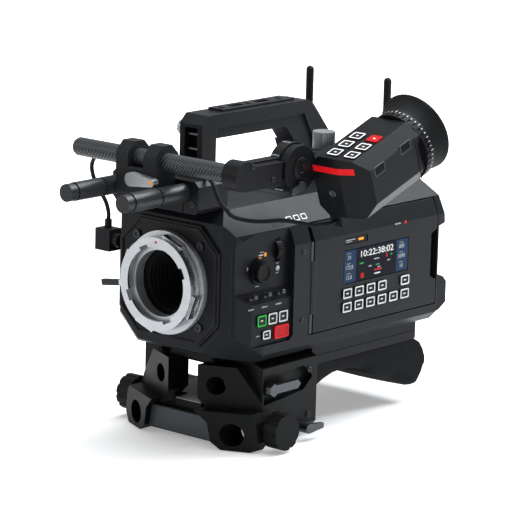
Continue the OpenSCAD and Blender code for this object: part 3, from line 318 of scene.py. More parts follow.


# The fourth number of paint() lifts the edges: part wear, part painted highlight
palette = {
    "body": paint("paintBody", (0.0095, 0.0105, 0.0125), 0.38, 7),
    "plate": paint("paintPlate", (0.009, 0.0095, 0.0105), 0.38, 7),
    "panel": paint("paintPanel", (0.0075, 0.008, 0.009), 0.44, 7),
    "finder": paint("paintFinder", (0.0065, 0.007, 0.008), 0.34, 8),
    "base": paint("paintBase", (0.0055, 0.006, 0.0065), 0.42, 7),
    "clamp": paint("paintClamp", (0.015, 0.016, 0.018), 0.4, 5),
    "handle": paint("paintHandle", (0.013, 0.014, 0.016), 0.42, 6),
    "bar": paint("paintBar", (0.085, 0.096, 0.106), 0.36, 2, 0.1),
    # Deck and tongue plates are painted pale grey: a painted highlight of their lit tops
    "deckHighlight": paint("paintDeckHighlight", (0.5, 0.51, 0.53), 0.42, 1.3),
    "mount": metal("steelMount", (0.62, 0.63, 0.65), 0.52, (1, 6, 1)),
    "lever": metal("metalLever", (0.4, 0.41, 0.43), 0.4),
    "bright": metal("metalBright", (0.1, 0.105, 0.112), 0.38),
    "screw": metal("metalScrew", (0.05, 0.052, 0.056), 0.4),
    "gold": metal("metalGold", (0.75, 0.55, 0.2), 0.3),
    "knob": rubber("knobBlack", (0.004, 0.0045, 0.005), 0.5, 1200, 0.05),
    "rubber": rubber("rubberBlack", (0.0085, 0.009, 0.0095)),
    "foam": rubber("foamBlack", (0.006, 0.0065, 0.007), 0.76, 950, 0.3),
    "plastic": rubber("plasticBlack", (0.0075, 0.008, 0.009), 0.44, 1300, 0.05),
    "black": rubber("voidBlack", (0.004, 0.004, 0.005), 0.7, 500, 0.05),
    # White and orange prints glow a little: painted glow, since prints are no lamps
    "white": glow("printWhiteGlow", (0.8, 0.8, 0.8), 0.12, 0.5),
    "greyPrint": glow("printGrey", (0.42, 0.44, 0.47), 0.0, 0.5),
    "orange": glow("lampOrangeAndPrintGlow", (0.95, 0.36, 0.03), 0.35),
    "red": glow("lampRed", (0.72, 0.008, 0.012), 0.3),
    "redKey": glow("keyRed", (0.5, 0.01, 0.014), 0.1, 0.4),
    "green": glow("keyGreen", (0.015, 0.3, 0.06), 0.12),
    "lens": glass("coatedLens", (0.012, 0.02, 0.03)),
    "screenDark": glass("screenDark", (0.002, 0.003, 0.007), 0.22, 0.04),
    "screenBlue": glow("screenBlue", (0.003, 0.02, 0.058), 0.5, 0.4),
}

# Which finish each CAD node wears
finish = {
    "body": ("body_shell", "hinge_cover", "display_door"),
    "plate": ("front_plate", "rod_block"),
    "panel": ("control_panel", "rear_module", "elbow_arm", "finder_bracket", "quick_plate"),
    "finder": ("finder_housing",),
    "base": ("base_frame", "front_bracket"),
    "clamp": ("tube_clamp",),
    "handle": ("top_handle",),
    "mount": ("lens_flange",),
    "screw": ("front_screws", "hinge_pin"),
    "lever": ("clamp_lever", "handle_knob", "finder_knob"),
    "bright": ("tilt_lever", "side_lever", "cam_lever", "toggle_front", "toggle_middle", "toggle_rear"),
    "knob": ("menu_knob", "thumb_wheel", "base_knob_left", "base_knob_right"),
    "plastic": ("battery_plate", "antenna_base", "body_plug", "finder_plug", "diopter_ring", "finder_keys"),
    "rubber": ("antenna_left", "antenna_right"),
    "lens": ("eyepiece", "sensor_block"),
    "screenDark": ("touch_screen",),
    "screenBlue": ("status_screen",),
    "red": ("tally_lamp",),
    "redKey": ("finder_red_key",),
}

# Keys on the panel and the door: x of a cap's face and the colours of its parts
keyCap = {
    "panelFace": 66.72,
    "doorFace": 69.22,
    "dark": (0.01, 0.0105, 0.0115),
    "rim": (0.74, 0.74, 0.74),
    "greenRim": (0.008, 0.4, 0.04),
    "recordFace": (0.5, 0.006, 0.012),
    "recordRim": (0.66, 0.01, 0.016),
}

# The tube and the rods: axis they run along, centre across it, and how pale their weave is
tubes = {
    "cross_tube": ("carbonTube", 0, (-18, 103), 1.0),
    "rod_left": ("carbonRodLeft", 1, (-30, 79), 0.5),
    "rod_right": ("carbonRodRight", 1, (30, 79), 0.5),
}


def dress(node, material):
    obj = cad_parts[node]
    obj.data.materials.clear()
    obj.data.materials.append(material)


def dressFrame():
    for key, nodes in finish.items():
        for node in nodes:
            dress(node, palette[key])
    for node, look in tubes.items():
        dress(node, carbon(*look))
    k = keyCap
    caps = {node: (k["dark"], k["rim"], k["panelFace"]) for node in ("key_middle", "key_rear", "key_small")}
    caps["key_power"] = (k["dark"], k["greenRim"], k["panelFace"], 0.3)
    caps["record_button"] = (k["recordFace"], k["recordRim"], k["panelFace"], 0.12)
    for node in ("door_keys_upper", "door_keys_lower"):
        caps[node] = (k["dark"], k["rim"], k["doorFace"])
    for node, look in caps.items():
        dress(node, rimmed("cap_" + node, *look))
    dress("lock_ring", ringMetal())


# Mesh helpers: every piece is built in place, and one bmesh holds one piece
def newPiece(name, bm, material):
    mesh = bpy.data.meshes.new(name)
    bm.to_mesh(mesh)
    bm.free()
    mesh.materials.append(palette[material])
    obj = bpy.data.objects.new(name, mesh)
    bpy.context.scene.collection.objects.link(obj)
    return obj


def finishPiece(name, bm, material, body, smooth=False, angle=35):
    obj = newPiece(name, bm, material)
    if smooth:
        obj.data.shade_smooth()
        obj.data.set_sharp_from_angle(angle=math.radians(angle))
    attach(obj, body)
    return obj


def addBox(bm, low, high, bevel=0.0):
    low, high = mm(*low), mm(*high)
    made = bmesh.ops.create_cube(bm, size=1.0)["verts"]
    bmesh.ops.scale(bm, vec=high - low, verts=made)
    bmesh.ops.translate(bm, vec=(low + high) / 2, verts=made)
    if bevel:
        edges = list({e for v in made for e in v.link_edges})
        bmesh.ops.bevel(bm, geom=edges, offset=bevel * milli, affect="EDGES", segments=2, profile=0.5,
                        material=-1)


def capHoles(bm):
    bmesh.ops.holes_fill(bm, edges=[e for e in bm.edges if e.is_boundary], sides=0)


def faceOut(bm):
    bmesh.ops.recalc_face_normals(bm, faces=bm.faces)


# Spins (radius, along) pairs round an axis through centre; closed joins the last pair to the first
def addLathe(bm, profile, centre, axis, sides=48, closed=False):
    axis = Vector(axis).normalized()
    side = axis.orthogonal().normalized()
    turn = Matrix((side, axis.cross(side), axis)).transposed().to_4x4()
    chain = [bm.verts.new(mm(radius, 0, along)) for radius, along in profile]
    links = [bm.edges.new(pair) for pair in zip(chain, chain[1:] + chain[:closed])]
    bmesh.ops.spin(bm, geom=chain + links, cent=(0, 0, 0), axis=(0, 0, 1), angle=math.tau, steps=sides,
                   use_merge=True)
    if not closed:
        capHoles(bm)
    faceOut(bm)
    bmesh.ops.transform(bm, matrix=Matrix.Translation(mm(*centre)) @ turn, verts=bm.verts)


# Raises an outline of (first, second) pairs along x or z
def addPrism(bm, outline, plane, level, thick):
    place = {
        "x": lambda a, b, c: mm(c, a, b),
        "z": lambda a, b, c: mm(a, b, c),
    }[plane]
    face = bm.faces.new([bm.verts.new(place(a, b, level)) for a, b in outline])
    raised = bmesh.ops.extrude_face_region(bm, geom=[face], use_keep_orig=True)["geom"]
    verts = [g for g in raised if isinstance(g, bmesh.types.BMVert)]
    bmesh.ops.translate(bm, vec=place(0, 0, thick), verts=verts)
    faceOut(bm)


def ringEdges(bm, ring):
    return [bm.edges.get((ring[k - 1], v)) for k, v in enumerate(ring)]


# Extrudes a ring and sets the new one on its own points
def growRing(bm, ring, points):
    grown = bmesh.ops.extrude_edge_only(bm, edges=ringEdges(bm, ring))["geom"]
    fresh = {g for g in grown if isinstance(g, bmesh.types.BMVert)}
    made = [next(e.other_vert(v) for e in v.link_edges if e.other_vert(v) in fresh) for v in ring]
    for v, p in zip(made, points):
        v.co = p
    return made


# Skins a row of rings, each with the same number of points
def addSkin(bm, rings, around=False, cap=False):
    first = [bm.verts.new(p) for p in rings[0]]
    for k, v in enumerate(first):
        bm.edges.new((first[k - 1], v))
    made = [first]
    for points in rings[1:]:
        made.append(growRing(bm, made[-1], points))
    if around:
        bmesh.ops.bridge_loops(bm, edges=ringEdges(bm, made[-1]) + ringEdges(bm, first))
    if cap:
        capHoles(bm)
    faceOut(bm)
    return made


def roundedOutline(cx, cy, w, h, r, steps=4):
    points = []
    for qx, qy, start in ((1, 1, 0), (-1, 1, 90), (-1, -1, 180), (1, -1, 270)):
        for i in range(steps + 1):
            a = math.radians(start + 90 * i / steps)
            x = cx + qx * (w / 2 - r) + r * math.cos(a)
            points.append((x, cy + qy * (h / 2 - r) + r * math.sin(a)))
    return points


# A flat tile with rounded corners, seen from the side; y and z give its lower near corner
def sideTile(name, y, z, w, h, material, body, x, thick, r):
    bm = bmesh.new()
    addPrism(bm, roundedOutline(y + w / 2, z + h / 2, w, h, r), "x", x, thick)
    finishPiece(name, bm, material, body)


def boxPiece(name, low, high, material, body, bevel=0.0):
    bm = bmesh.new()
    addBox(bm, low, high, bevel)
    finishPiece(name, bm, material, body)


def lathePiece(name, profile, centre, axis, material, body, sides=48, closed=False, smooth=True, angle=35):
    bm = bmesh.new()
    addLathe(bm, profile, centre, axis, sides, closed)
    finishPiece(name, bm, material, body, smooth, angle)


# The viewfinder's own frame: u runs along its axis to the eye, v is up from it
finder = {
    "pivot": (45.0, 102.0),  # y and z of the hinge
    "tilt": 20.0,
    "x": 104.6,
    "w": 50.0,
    "front": 12.5,
    "top": 3.5,
    "length": 74.5,
    "axisDrop": 26.0,
}
finder["mid"] = finder["x"] + finder["w"] / 2
finder["side"] = finder["x"] + finder["w"]
finder["back"] = finder["front"] + finder["length"]
finder["axis"] = finder["top"] - finder["axisDrop"]
finderTilt = Matrix.Rotation(math.radians(finder["tilt"]), 4, "X")
finderMatrix = Matrix.Translation(mm(0, *finder["pivot"])) @ finderTilt


def finderPiece(name, bm, material, body="finder", smooth=False):
    bmesh.ops.transform(bm, matrix=finderMatrix, verts=bm.verts)
    return finishPiece(name, bm, material, body, smooth)


# Cable: two stretches that meet on the arm, along the route of the CAD cable
cable = {
    "diameter": 3.4,
    "sides": 14,
    "hold": 60,  # step of the body's route from which it follows the arm
    "bodyPath": [
        (-82, 26, 36), (-82, 26, 42), (-84, 25, 50), (-88, 23, 58), (-91, 20, 66), (-92, 17, 74),
        (-90, 14, 82), (-84, 11, 89), (-76, 8, 93), (-66, 6, 94), (-54, 5, 93), (-42, 5, 92), (-30, 5, 91),
        (-16, 6, 91), (0, 6, 91), (16, 6, 91), (30, 6, 91), (40, 5, 91), (47, 4, 90), (52, 3, 86),
        (56, 2, 80), (61, 2, 73), (67, 3, 68),
    ],
    "endPath": [
        (67, 3, 68), (70, 3.5, 65.5), (75, 5.5, 63.5), (83, 9, 62.5), (89, 14, 62), (94, 21, 62),
        (98, 29, 62), (102, 37, 61), (106, 45, 59), (110, 52, 57), (114, 59, 57), (117, 66, 57),
        (118, 73.7, 58.2),
    ],
}


# Catmull-Rom curve through the route's points
def smoothPath(points, steps=4):
    p = [Vector(q) for q in points]
    p = [p[0] * 2 - p[1]] + p + [p[-1] * 2 - p[-2]]
    out = []
    for i in range(1, len(p) - 2):
        a, b, c, d = p[i - 1:i + 3]
        for k in range(steps):
            t = k / steps
            square = (a * 2 - b * 5 + c * 4 - d) * t ** 2
            cube = (b * 3 - a - c * 3 + d) * t ** 3
            out.append((b * 2 + (c - a) * t + square + cube) / 2)
    out.append(p[-2])
    return [q * milli for q in out]


def pathLength(path):
    return sum((b - a).length for a, b in zip(path, path[1:]))


def cablePiece(name, points, material):
    path = smoothPath(points)
    radius = cable["diameter"] / 2 * milli
    turns = [math.tau * k / cable["sides"] for k in range(cable["sides"])]
    side = (path[1] - path[0]).orthogonal()
    rings = []
    for i, p in enumerate(path):
        ahead = (path[min(i + 1, len(path) - 1)] - path[max(i - 1, 0)]).normalized()
        side = (side - ahead * side.dot(ahead)).normalized()
        across = ahead.cross(side)
        rings.append([p + (side * math.cos(w) + across * math.sin(w)) * radius for w in turns])
    bm = bmesh.new()
    addSkin(bm, rings, cap=True)
    obj = newPiece(name, bm, material)
    obj.data.shade_smooth()
    return obj, path


def makeCable():
    bodyCable, bodyRoute = cablePiece("cable_body", cable["bodyPath"], "rubber")
    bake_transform(bodyCable)
    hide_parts("cord_body")
    endCable, endRoute = cablePiece("cable_end", cable["endPath"], "rubber")
    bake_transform(endCable)
    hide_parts("cord_end")
    pathLength(bodyRoute)
    pathLength(endRoute)


# Shoulder pad: foam with a crowned sole and rounded lower edges, under its carrier
pad = {
    "front": 122.3,
    "length": 150.0,
    "top": -77.7,
    "depth": 43.0,
    "half": 59.0,
    "edge": 9.0,
    "crown": 1.5,
    "waist": 2.5,
    "shares": [  # share of the length, then shares of the depth at which the top and the sole lie
        (0, 0, 0.6), (0.1, 0, 0.44), (0.2, 0, 0.32), (0.3, 0, 0.29), (0.4, 0, 0.32), (0.49, 0, 0.4),
        (0.56, 0, 0.54), (0.66, 0, 0.66), (0.76, 0, 0.74), (0.84, 0, 0.9), (0.9, 0, 0.99), (0.95, 0.1, 1),
        (0.98, 0.25, 0.85), (1, 0.42, 0.62),
    ],
}


def padSection(share, top, sole):
    y = pad["front"] + share * pad["length"]
    zTop = pad["top"] - top * pad["depth"]
    zSole = pad["top"] - sole * pad["depth"]
    r = min(pad["edge"], (zTop - zSole) / 2)
    w = pad["half"] - pad["waist"] * math.sin(math.pi * share)
    arc = [math.radians(18 * k) for k in range(6)]
    wall = [(w, y, zTop + (zSole + r - zTop) * k / 3) for k in range(3)]
    corner = [(w - r + r * math.cos(a), y, zSole + r - r * math.sin(a)) for a in arc]
    inner = [((w - r) * c, y, zSole - pad["crown"] * (1 - c * c)) for c in (0.66, 0.33, 0, -0.33, -0.66)]
    right = wall + corner
    return [mm(*p) for p in right + inner + [(-px, py, pz) for px, py, pz in reversed(right)]]


def sampleShares(table, steps):
    out = []
    for a, b in zip(table, table[1:]):
        for k in range(steps):
            out.append(tuple(p + (q - p) * k / steps for p, q in zip(a, b)))
    out.append(table[-1])
    return out


def makePad():
    bm = bmesh.new()
    rings = addSkin(bm, [padSection(*share) for share in sampleShares(pad["shares"], 3)], cap=True)
    soft = [v for ring in rings[1:-1] for v in ring[3:-3]]
    bmesh.ops.smooth_vert(bm, verts=soft, factor=0.5, use_axis_z=True)
    obj = finishPiece("pad_foam", bm, "foam", "base", smooth=True, angle=50)
    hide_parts("shoulder_pad")


# Eyecup: flared rubber bell with a rolled lip, its rim set higher than the axis
cup = {
    "length": 16.0,
    "r": 33.0,
    "root": 28.5,
    "boss": 24.05,
    "eye": 21.0,
    "seat": 3.4,
    "start": 9.6,
    "sides": 72,
}


def cupRing(along, radius, lift):
    turns = [math.tau * k / cup["sides"] for k in range(cup["sides"])]
    y = finder["back"] + cup["start"] + along
    z = finder["axis"] + lift
    return [mm(finder["mid"] + radius * math.cos(w), y, z + radius * math.sin(w)) for w in turns]


def makeEyecup():
    c = cup
    rings = [  # distance along the axis, radius and lift
        (0, c["boss"], 0), (0, c["root"] - 0.4, 0), (0.6, c["root"], 0), (2.4, c["root"] + 0.1, 0.1),
        (c["length"] / 3, c["root"] + 0.6, 0.5), (8.0, c["root"] + 1.4, 1.2), (10.5, c["r"] - 2.4, 1.8),
        (12.6, c["r"] - 1.0, 2.4), (14.2, c["r"] - 0.1, 3.0), (15.1, c["r"], 3.0),
        (15.8, c["r"] - 0.5, 3.0), (c["length"], c["r"] - 1.3, 3.0), (15.6, c["r"] - 2.2, 3.0),
        (13.6, c["r"] - 3.2, 2.7), (10.6, c["r"] - 4.6, 1.8), (8.0, c["boss"] + 1.4, 0.9),
        (6.0, c["eye"] + 1.6, 0.4), (5.4, c["eye"], 0), (c["seat"], c["eye"], 0), (c["seat"], c["boss"], 0),
    ]
    bm = bmesh.new()
    addSkin(bm, [cupRing(*ring) for ring in rings], around=True)
    obj = finderPiece("eyecup_rubber", bm, "rubber", smooth=True)
    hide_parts("eyecup")


# Display on the door: blue columns, dark middle, plain time and small marks, laid on it in thin layers
screen = {
    "x": 68.0,
    "y": 148.0,
    "z": 1.5,
    "w": 84.0,
    "h": 27.0,
    "column": 15.5,
    "proud": 0.06,
    "skin": 0.05,
    "extrude": 0.03,
    "bold": 0.09,
    "time": "10:22:38:02",
    "timeSize": 7.4,
    "timeWide": 1.3,
    "timeRise": 8.2,
    "numberSize": 4.6,
    "rows": (0.16, 0.31),  # share of the height at which the first row lies, and the step to the next
    "label": (3.0, 3.1, 5, 0.5),  # shift to the left of a number and above it, then width and height
    "marks": [  # place as shares of the width and height, then size and finish
        (0.24, 0.5, 5, 1.3, "green"), (0.46, 0.55, 7, 1.1, "greyPrint"), (0.65, 0.55, 2, 3.2, "redKey"),
        (0.72, 0.58, 2.6, 1.3, "green"), (0.38, 0.36, 4, 1.1, "greyPrint"), (0.49, 0.36, 5, 1.1, "green"),
        (0.67, 0.42, 4, 1.1, "greyPrint"), (0.26, 0.06, 4.2, 4.2, "redKey"), (0.47, 0.2, 10, 1.5, "redKey"),
        (0.47, 0.09, 8, 1.1, "white"), (0.52, 0.28, 4, 0.8, "greyPrint"),
    ],
    "columns": {  # share of the width, and the numbers from the bottom up
        "left": (0.075, ("12.8", "172.8", "24")),
        "right": (0.895, ("10", "5090", "800")),
    },
}


def screenTile(name, y, z, w, h, material, layer=1, r=0.3):
    x = screen["x"] + screen["proud"] + (layer - 1) * screen["skin"]
    sideTile(name, y, z, w, h, material, "door", x, screen["skin"], r)


def screenText(name, text, y, z, size, material, wide=1.0):
    curve = bpy.data.curves.new(name, "FONT")
    curve.body = text
    curve.size = size * milli
    curve.extrude = screen["extrude"] * milli
    curve.offset = screen["bold"] * milli
    curve.align_x = "CENTER"
    curve.align_y = "CENTER"
    flat = bpy.data.objects.new(name, curve)
    bpy.context.scene.collection.objects.link(flat)
    bpy.context.view_layer.update()
    mesh = bpy.data.meshes.new_from_object(flat)
    bpy.data.objects.remove(flat)
    x = screen["x"] + screen["proud"] + 3 * screen["skin"]
    spin = Euler((math.radians(90), 0, math.radians(90))).to_matrix().to_4x4()
    mesh.transform(Matrix.Translation(mm(x, y, z)) @ spin @ Matrix.Diagonal((wide, 1, 1, 1)))
    mesh.materials.clear()
    mesh.materials.append(palette[material])
    piece = bpy.data.objects.new(name, mesh)
    bpy.context.scene.collection.objects.link(piece)
    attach(piece, "door")


def makeScreen():
    s = screen
    low = s["z"] - s["h"] / 2
    screenTile("screen_middle", s["y"] + s["column"], low, s["w"] - 2 * s["column"], s["h"], "screenDark")
    middle, up = s["y"] + s["w"] / 2, s["z"] + s["timeRise"]
    screenText("screen_time", s["time"], middle, up, s["timeSize"], "white", s["timeWide"])
    for i, (u, v, w, h, material) in enumerate(s["marks"]):
        screenTile(f"screen_mark_{i}", s["y"] + s["w"] * u, low + s["h"] * v, w, h, material, 3, 0.2)
    left, above, w, h = s["label"]
    for side, (share, numbers) in s["columns"].items():
        y = s["y"] + s["w"] * share
        for row, number in enumerate(numbers):
            z = low + s["h"] * (s["rows"][0] + s["rows"][1] * row)
            screenText(f"screen_{side}_{row}", number, y, z, s["numberSize"], "greyPrint")
            screenTile(f"screen_label_{side}_{row}", y - left, z + above, w, h, "greyPrint", 2, 0.1)


# Small marks and lamps on the panel and the door: lower near corner, size, finish and face
marks = {
    "lamp_panel": (54.6, 23.6, 2.6, 3.2, "orange", 61.5),
    "lamp_door": (226.3, 27.7, 2.4, 2.4, "red", 68.0),
    "mark_wheel": (49.0, 27.2, 5.0, 0.8, "greyPrint", 61.5),
    "mark_knob": (34.0, 15.0, 0.9, 3.0, "greyPrint", 61.5),
    "mark_start": (32.0, -16.8, 7.0, 1.1, "greyPrint", 65.5),
    "mark_mid": (48.5, -16.8, 7.0, 1.1, "greyPrint", 65.5),
    "mark_end": (65.5, -16.8, 7.0, 1.1, "greyPrint", 65.5),
    "mark_lamp_a": (47.6, 24.9, 5.6, 0.8, "white", 61.5),
    "mark_lamp_b": (47.6, 22.9, 4.0, 0.8, "orange", 61.5),
    "mark_stud_a": (57.0, 7.8, 3.4, 0.8, "greyPrint", 61.5),
    "mark_stud_b": (69.2, 7.8, 3.4, 0.8, "greyPrint", 61.5),
    "mark_stud_c": (57.0, 15.8, 3.4, 0.8, "greyPrint", 61.5),
    "mark_stud_d": (69.2, 15.8, 3.4, 0.8, "greyPrint", 61.5),
    "mark_knob_low": (44.5, 0.2, 4.4, 0.8, "greyPrint", 61.5),
    "mark_key": (42.6, -39.8, 4.4, 0.9, "greyPrint", 65.5),
    "mark_door_text": (213.5, 28.3, 7.5, 1.1, "greyPrint", 68.0),
    "mark_door_label_a": (150.0, 23.3, 12.0, 0.9, "greyPrint", 67.4),
    "mark_door_label_b": (150.0, 21.9, 8.0, 0.7, "greyPrint", 67.4),
    "mark_door_label_c": (166.5, 21.8, 6.5, 2.2, "orange", 67.4),
}
printed = {"thick": 0.12, "corner": 0.3}
stud = {
    "x": 61.5,
    "spots": ((58.5, 12.3), (70.8, 12.1)),
    "profile": [(2.3, 0), (2.3, 0.5), (2.0, 0.9), (1.3, 0.7), (0.2, 0.65)],
}


def makeMarks():
    for name, (y, z, w, h, material, x) in marks.items():
        body = "door" if "door" in name else "root"
        sideTile(name, y, z, w, h, material, body, x, printed["thick"], printed["corner"])
    for i, (y, z) in enumerate(stud["spots"]):
        centre = (stud["x"], y, z)
        lathePiece(f"panel_stud_{i}", stud["profile"], centre, (1, 0, 0), "lever", "root", sides=28)


# A small plain dash on each key: the key that carries it and the middle of the dash
dash = {
    "height": 1.0,
    "thick": 0.06,
    "doorWidth": 3.0,
    "panelWidth": 2.6,
    "doorStart": 152.0,
    "doorPitch": 15.2,
    "doorRows": {"upper": ((0, 1, 2, 3, 5), -20.4), "lower": ((0, 1, 2, 3, 4, 5), -32)},
    "panelKeys": {
        "key_power": (47.9, -27),
        "key_middle": (61, -27),
        "key_rear": (74, -27),
        "key_small": (54, -39.3),
    },
}


def addDash(name, y, z, w, x, body):
    h = dash["height"]
    sideTile(name, y - w / 2, z - h / 2, w, h, "white", body, x, dash["thick"], printed["corner"])


def keyIcons():
    for row, (places, z) in dash["doorRows"].items():
        for i in places:
            y = dash["doorStart"] + dash["doorPitch"] * i
            addDash(f"icon_{row}_{i}", y, z, dash["doorWidth"], keyCap["doorFace"], "door_keys_" + row)
    for node, (y, z) in dash["panelKeys"].items():
        addDash("icon_" + node, y, z, dash["panelWidth"], keyCap["panelFace"], node)


# Six keys on the viewfinder's top, two across and three along; the rear one on the right is red
finderKey = {
    "x": 16.0,
    "dx": 17.0,
    "u": 13.0,
    "du": 14.2,
    "w": 11.0,
    "l": 9.5,
    "rim": 1.2,
    "proud": 1.0,
    "corners": (1.3, 0.6),  # outside and inside the rim
    "levels": (-0.4, 0.12, -0.02),  # foot, top and inner foot of the rim, from the key's face
    "dot": (2.4, 1.4, 0.4),  # width, length and corner
    "dotThick": 0.06,
}


def finderKeys():
    k = finderKey
    top = finder["top"] + k["proud"]
    foot, crest, innerFoot = k["levels"]
    outer = roundedOutline(0, 0, k["w"], k["l"], k["corners"][0])
    inner = roundedOutline(0, 0, k["w"] - 2 * k["rim"], k["l"] - 2 * k["rim"], k["corners"][1])
    levels = ((outer, foot), (outer, crest), (inner, crest), (inner, innerFoot))
    for i in range(2):
        for j in range(3):
            red = i == 1 and j == 2
            body = "finder_red_key" if red else "finder_keys"
            cx = finder["x"] + k["x"] + i * k["dx"]
            cu = finder["front"] + k["u"] + j * k["du"]
            bm = bmesh.new()
            addSkin(bm, [[mm(a, b, z) for a, b in line] for line, z in levels])
            bmesh.ops.translate(bm, vec=mm(cx, cu, top), verts=bm.verts)
            finderPiece(f"finder_frame_{i}{j}", bm, "redKey" if red else "white", body)
            bm = bmesh.new()
            addPrism(bm, roundedOutline(cx, cu, *k["dot"]), "z", top, k["dotThick"])
            finderPiece(f"finder_dot_{i}{j}", bm, "white", body)


# Lens mount: baffled throat as (radius, y) pairs, and index dots on the ring
throat = {
    "mouth": [(26.8, 9.7), (26.8, 12)],
    "baffle": [(25.6, 0), (24.0, 0.6), (24.0, 1.4), (25.6, 2.2)],
    "count": 9,
    "first": 14.0,
    "pitch": 4.0,
    "taper": 0.5,  # each baffle is this much narrower than the one in front
    "shell": [(22.0, 50.5), (16.5, 51.2), (16.5, 51.8), (29.0, 51.8), (29.0, 12), (29.0, 9.7)],
    "dots": ((90, "redKey"), (210, "white")),
    "dotRadius": 34.2,
    "dotY": -6.0,
    "dotProfile": [(1.1, -0.1), (1.1, 0.06), (0.7, 0.1)],
}


def makeThroat():
    t = throat
    profile = list(t["mouth"])
    for k in range(t["count"]):
        profile += [(r - k * t["taper"], t["first"] + k * t["pitch"] + y) for r, y in t["baffle"]]
    profile += t["shell"]
    lathePiece("throat_baffle", profile, (0, 0, 0), (0, 1, 0), "black", "root", 64, closed=True, angle=20)
    for i, (turn, material) in enumerate(t["dots"]):
        a = math.radians(turn)
        centre = (t["dotRadius"] * math.cos(a), t["dotY"], t["dotRadius"] * math.sin(a))
        lathePiece(f"index_dot_{i}", t["dotProfile"], centre, (0, -1, 0), material, "lock_ring", 20)


# Cap screws: centre of the seat, axis, radius and the body that carries them
screws = {
    "screw_arm_a": ((103, -10, 110), (1, 0, 0), 2.2, "arm"),
    "screw_arm_b": ((103, 14, 97), (1, 0, 0), 2.2, "arm"),
    "screw_block_a": ((40, -8, 71), (0, -1, 0), 2.4, "root"),
    "screw_block_b": ((-40, -8, 71), (0, -1, 0), 2.4, "root"),
    "screw_handle_a": ((0, 70, 134.4), (0, 0, 1), 3.0, "root"),
    "screw_handle_b": ((0, 102, 134.4), (0, 0, 1), 3.0, "root"),
    "screw_handle_c": ((0, 140, 134.4), (0, 0, 1), 3.0, "root"),
    "screw_side_a": ((68, 96, 22), (1, 0, 0), 2.0, "root"),
    "screw_side_b": ((68, 96, -34), (1, 0, 0), 2.0, "root"),
    "screw_rear_a": ((60, 292, -38), (0, 1, 0), 2.2, "root"),
    "screw_rear_b": ((-60, 292, -38), (0, 1, 0), 2.2, "root"),
    "screw_wall_a": ((64, 112, -78), (1, 0, 0), 2.6, "base"),
    "screw_wall_b": ((64, 112, -116), (1, 0, 0), 2.6, "base"),
}
screwHead = {  # shares of the radius, but the shoulder's is one of the height
    "height": 0.35,
    "shoulder": 0.7,
    "crown": 0.9,
    "mouth": 0.52,
    "socket": 0.5,
}


def makeScrews():
    s = screwHead
    for name, (centre, axis, r, body) in screws.items():
        h = r * s["height"]
        head = [(r, 0), (r, h * s["shoulder"]), (r * s["crown"], h), (r * s["mouth"], h)]
        socket = [(r * s["socket"], h - 0.02), (r * s["socket"], h + 0.03)]
        lathePiece(name, head, centre, axis, "screw", body, 30)
        # The socket is a flat black hexagon on the head: painted shade of its hollow
        lathePiece(name + "_socket", socket, centre, axis, "black", body, 6, smooth=False)


# Seams, plates and latches: lower and upper corner, finish and the body that carries them
strips = {
    "seam_top_front": ((-46, 103.6, 62.95), (46, 104.2, 63.12), "black", "root"),
    "seam_top_rear": ((-46, 214.0, 62.95), (46, 214.6, 63.12), "black", "root"),
    "latch_top": ((47.6, 264.5, 45.4), (50.6, 276, 50.6), "black", "root"),
    "bar_plate": ((-37, 29.4, -129), (37, 30.05, -111), "bar", "base"),
    # These two plates are painted pale: a painted highlight on their tops
    "deck_plate": ((-44, 54.5, -103.05), (44, 120, -102.4), "deckHighlight", "base"),
    "tongue_plate": ((-13.5, 36.4, -103.05), (13.5, 54.5, -102.4), "deckHighlight", "base"),
    "door_label": ((67.0, 148, 21), (67.4, 177, 25.2), "panel", "door"),
    "pad_carrier_line": ((58.9, 124, -70.6), (59.15, 257, -70.0), "black", "base"),
}
vent = {"count": 6, "first": 118, "pitch": 14, "width": 5, "half": 30, "z": (62.9, 63.25)}


def makeTrim():
    for name, strip in strips.items():
        boxPiece(name, *strip)
    v = vent
    for k in range(v["count"]):
        y = v["first"] + k * v["pitch"]
        low, high = (-v["half"], y, v["z"][0]), (v["half"], y + v["width"], v["z"][1])
        boxPiece(f"top_vent_{k}", low, high, "black", "root", 0.1)


# Latches (a pale rim as painted highlight round a black face as painted recess shade), groove, small front
# window and eyepiece glass of the viewfinder, in its own frame
finderFit = {
    "latches": (("front", 28, -14), ("rear", 62, -12)),
    "latchSize": (13, 8),
    # The pale rim is a painted highlight of glossy latch edges; the black face is painted shade of the latch
    # recess
    "latchLayers": (("latch_rim_highlight", 0, 0.2, "bar"), ("latch_recess_shade", 0.6, 0.26, "black")),  # inset, height, finish
    "groove": 80,
    "window": (16, -26),
    "windowRing": [(3.2, -0.2), (3.2, 0.3), (2.6, 0.5), (2.2, 0.3), (1.9, 0.1)],
    "windowGlass": [(1.9, 0), (1.4, 0.2)],
    "dome": [(17.8, 4.0), (17.8, 4.4), (12, 6.0), (6, 6.9), (0.4, 7.2)],
}


def finderLathe(name, profile, centre, axis, material, sides):
    bm = bmesh.new()
    addLathe(bm, profile, centre, axis, sides)
    finderPiece(name, bm, material, smooth=True)


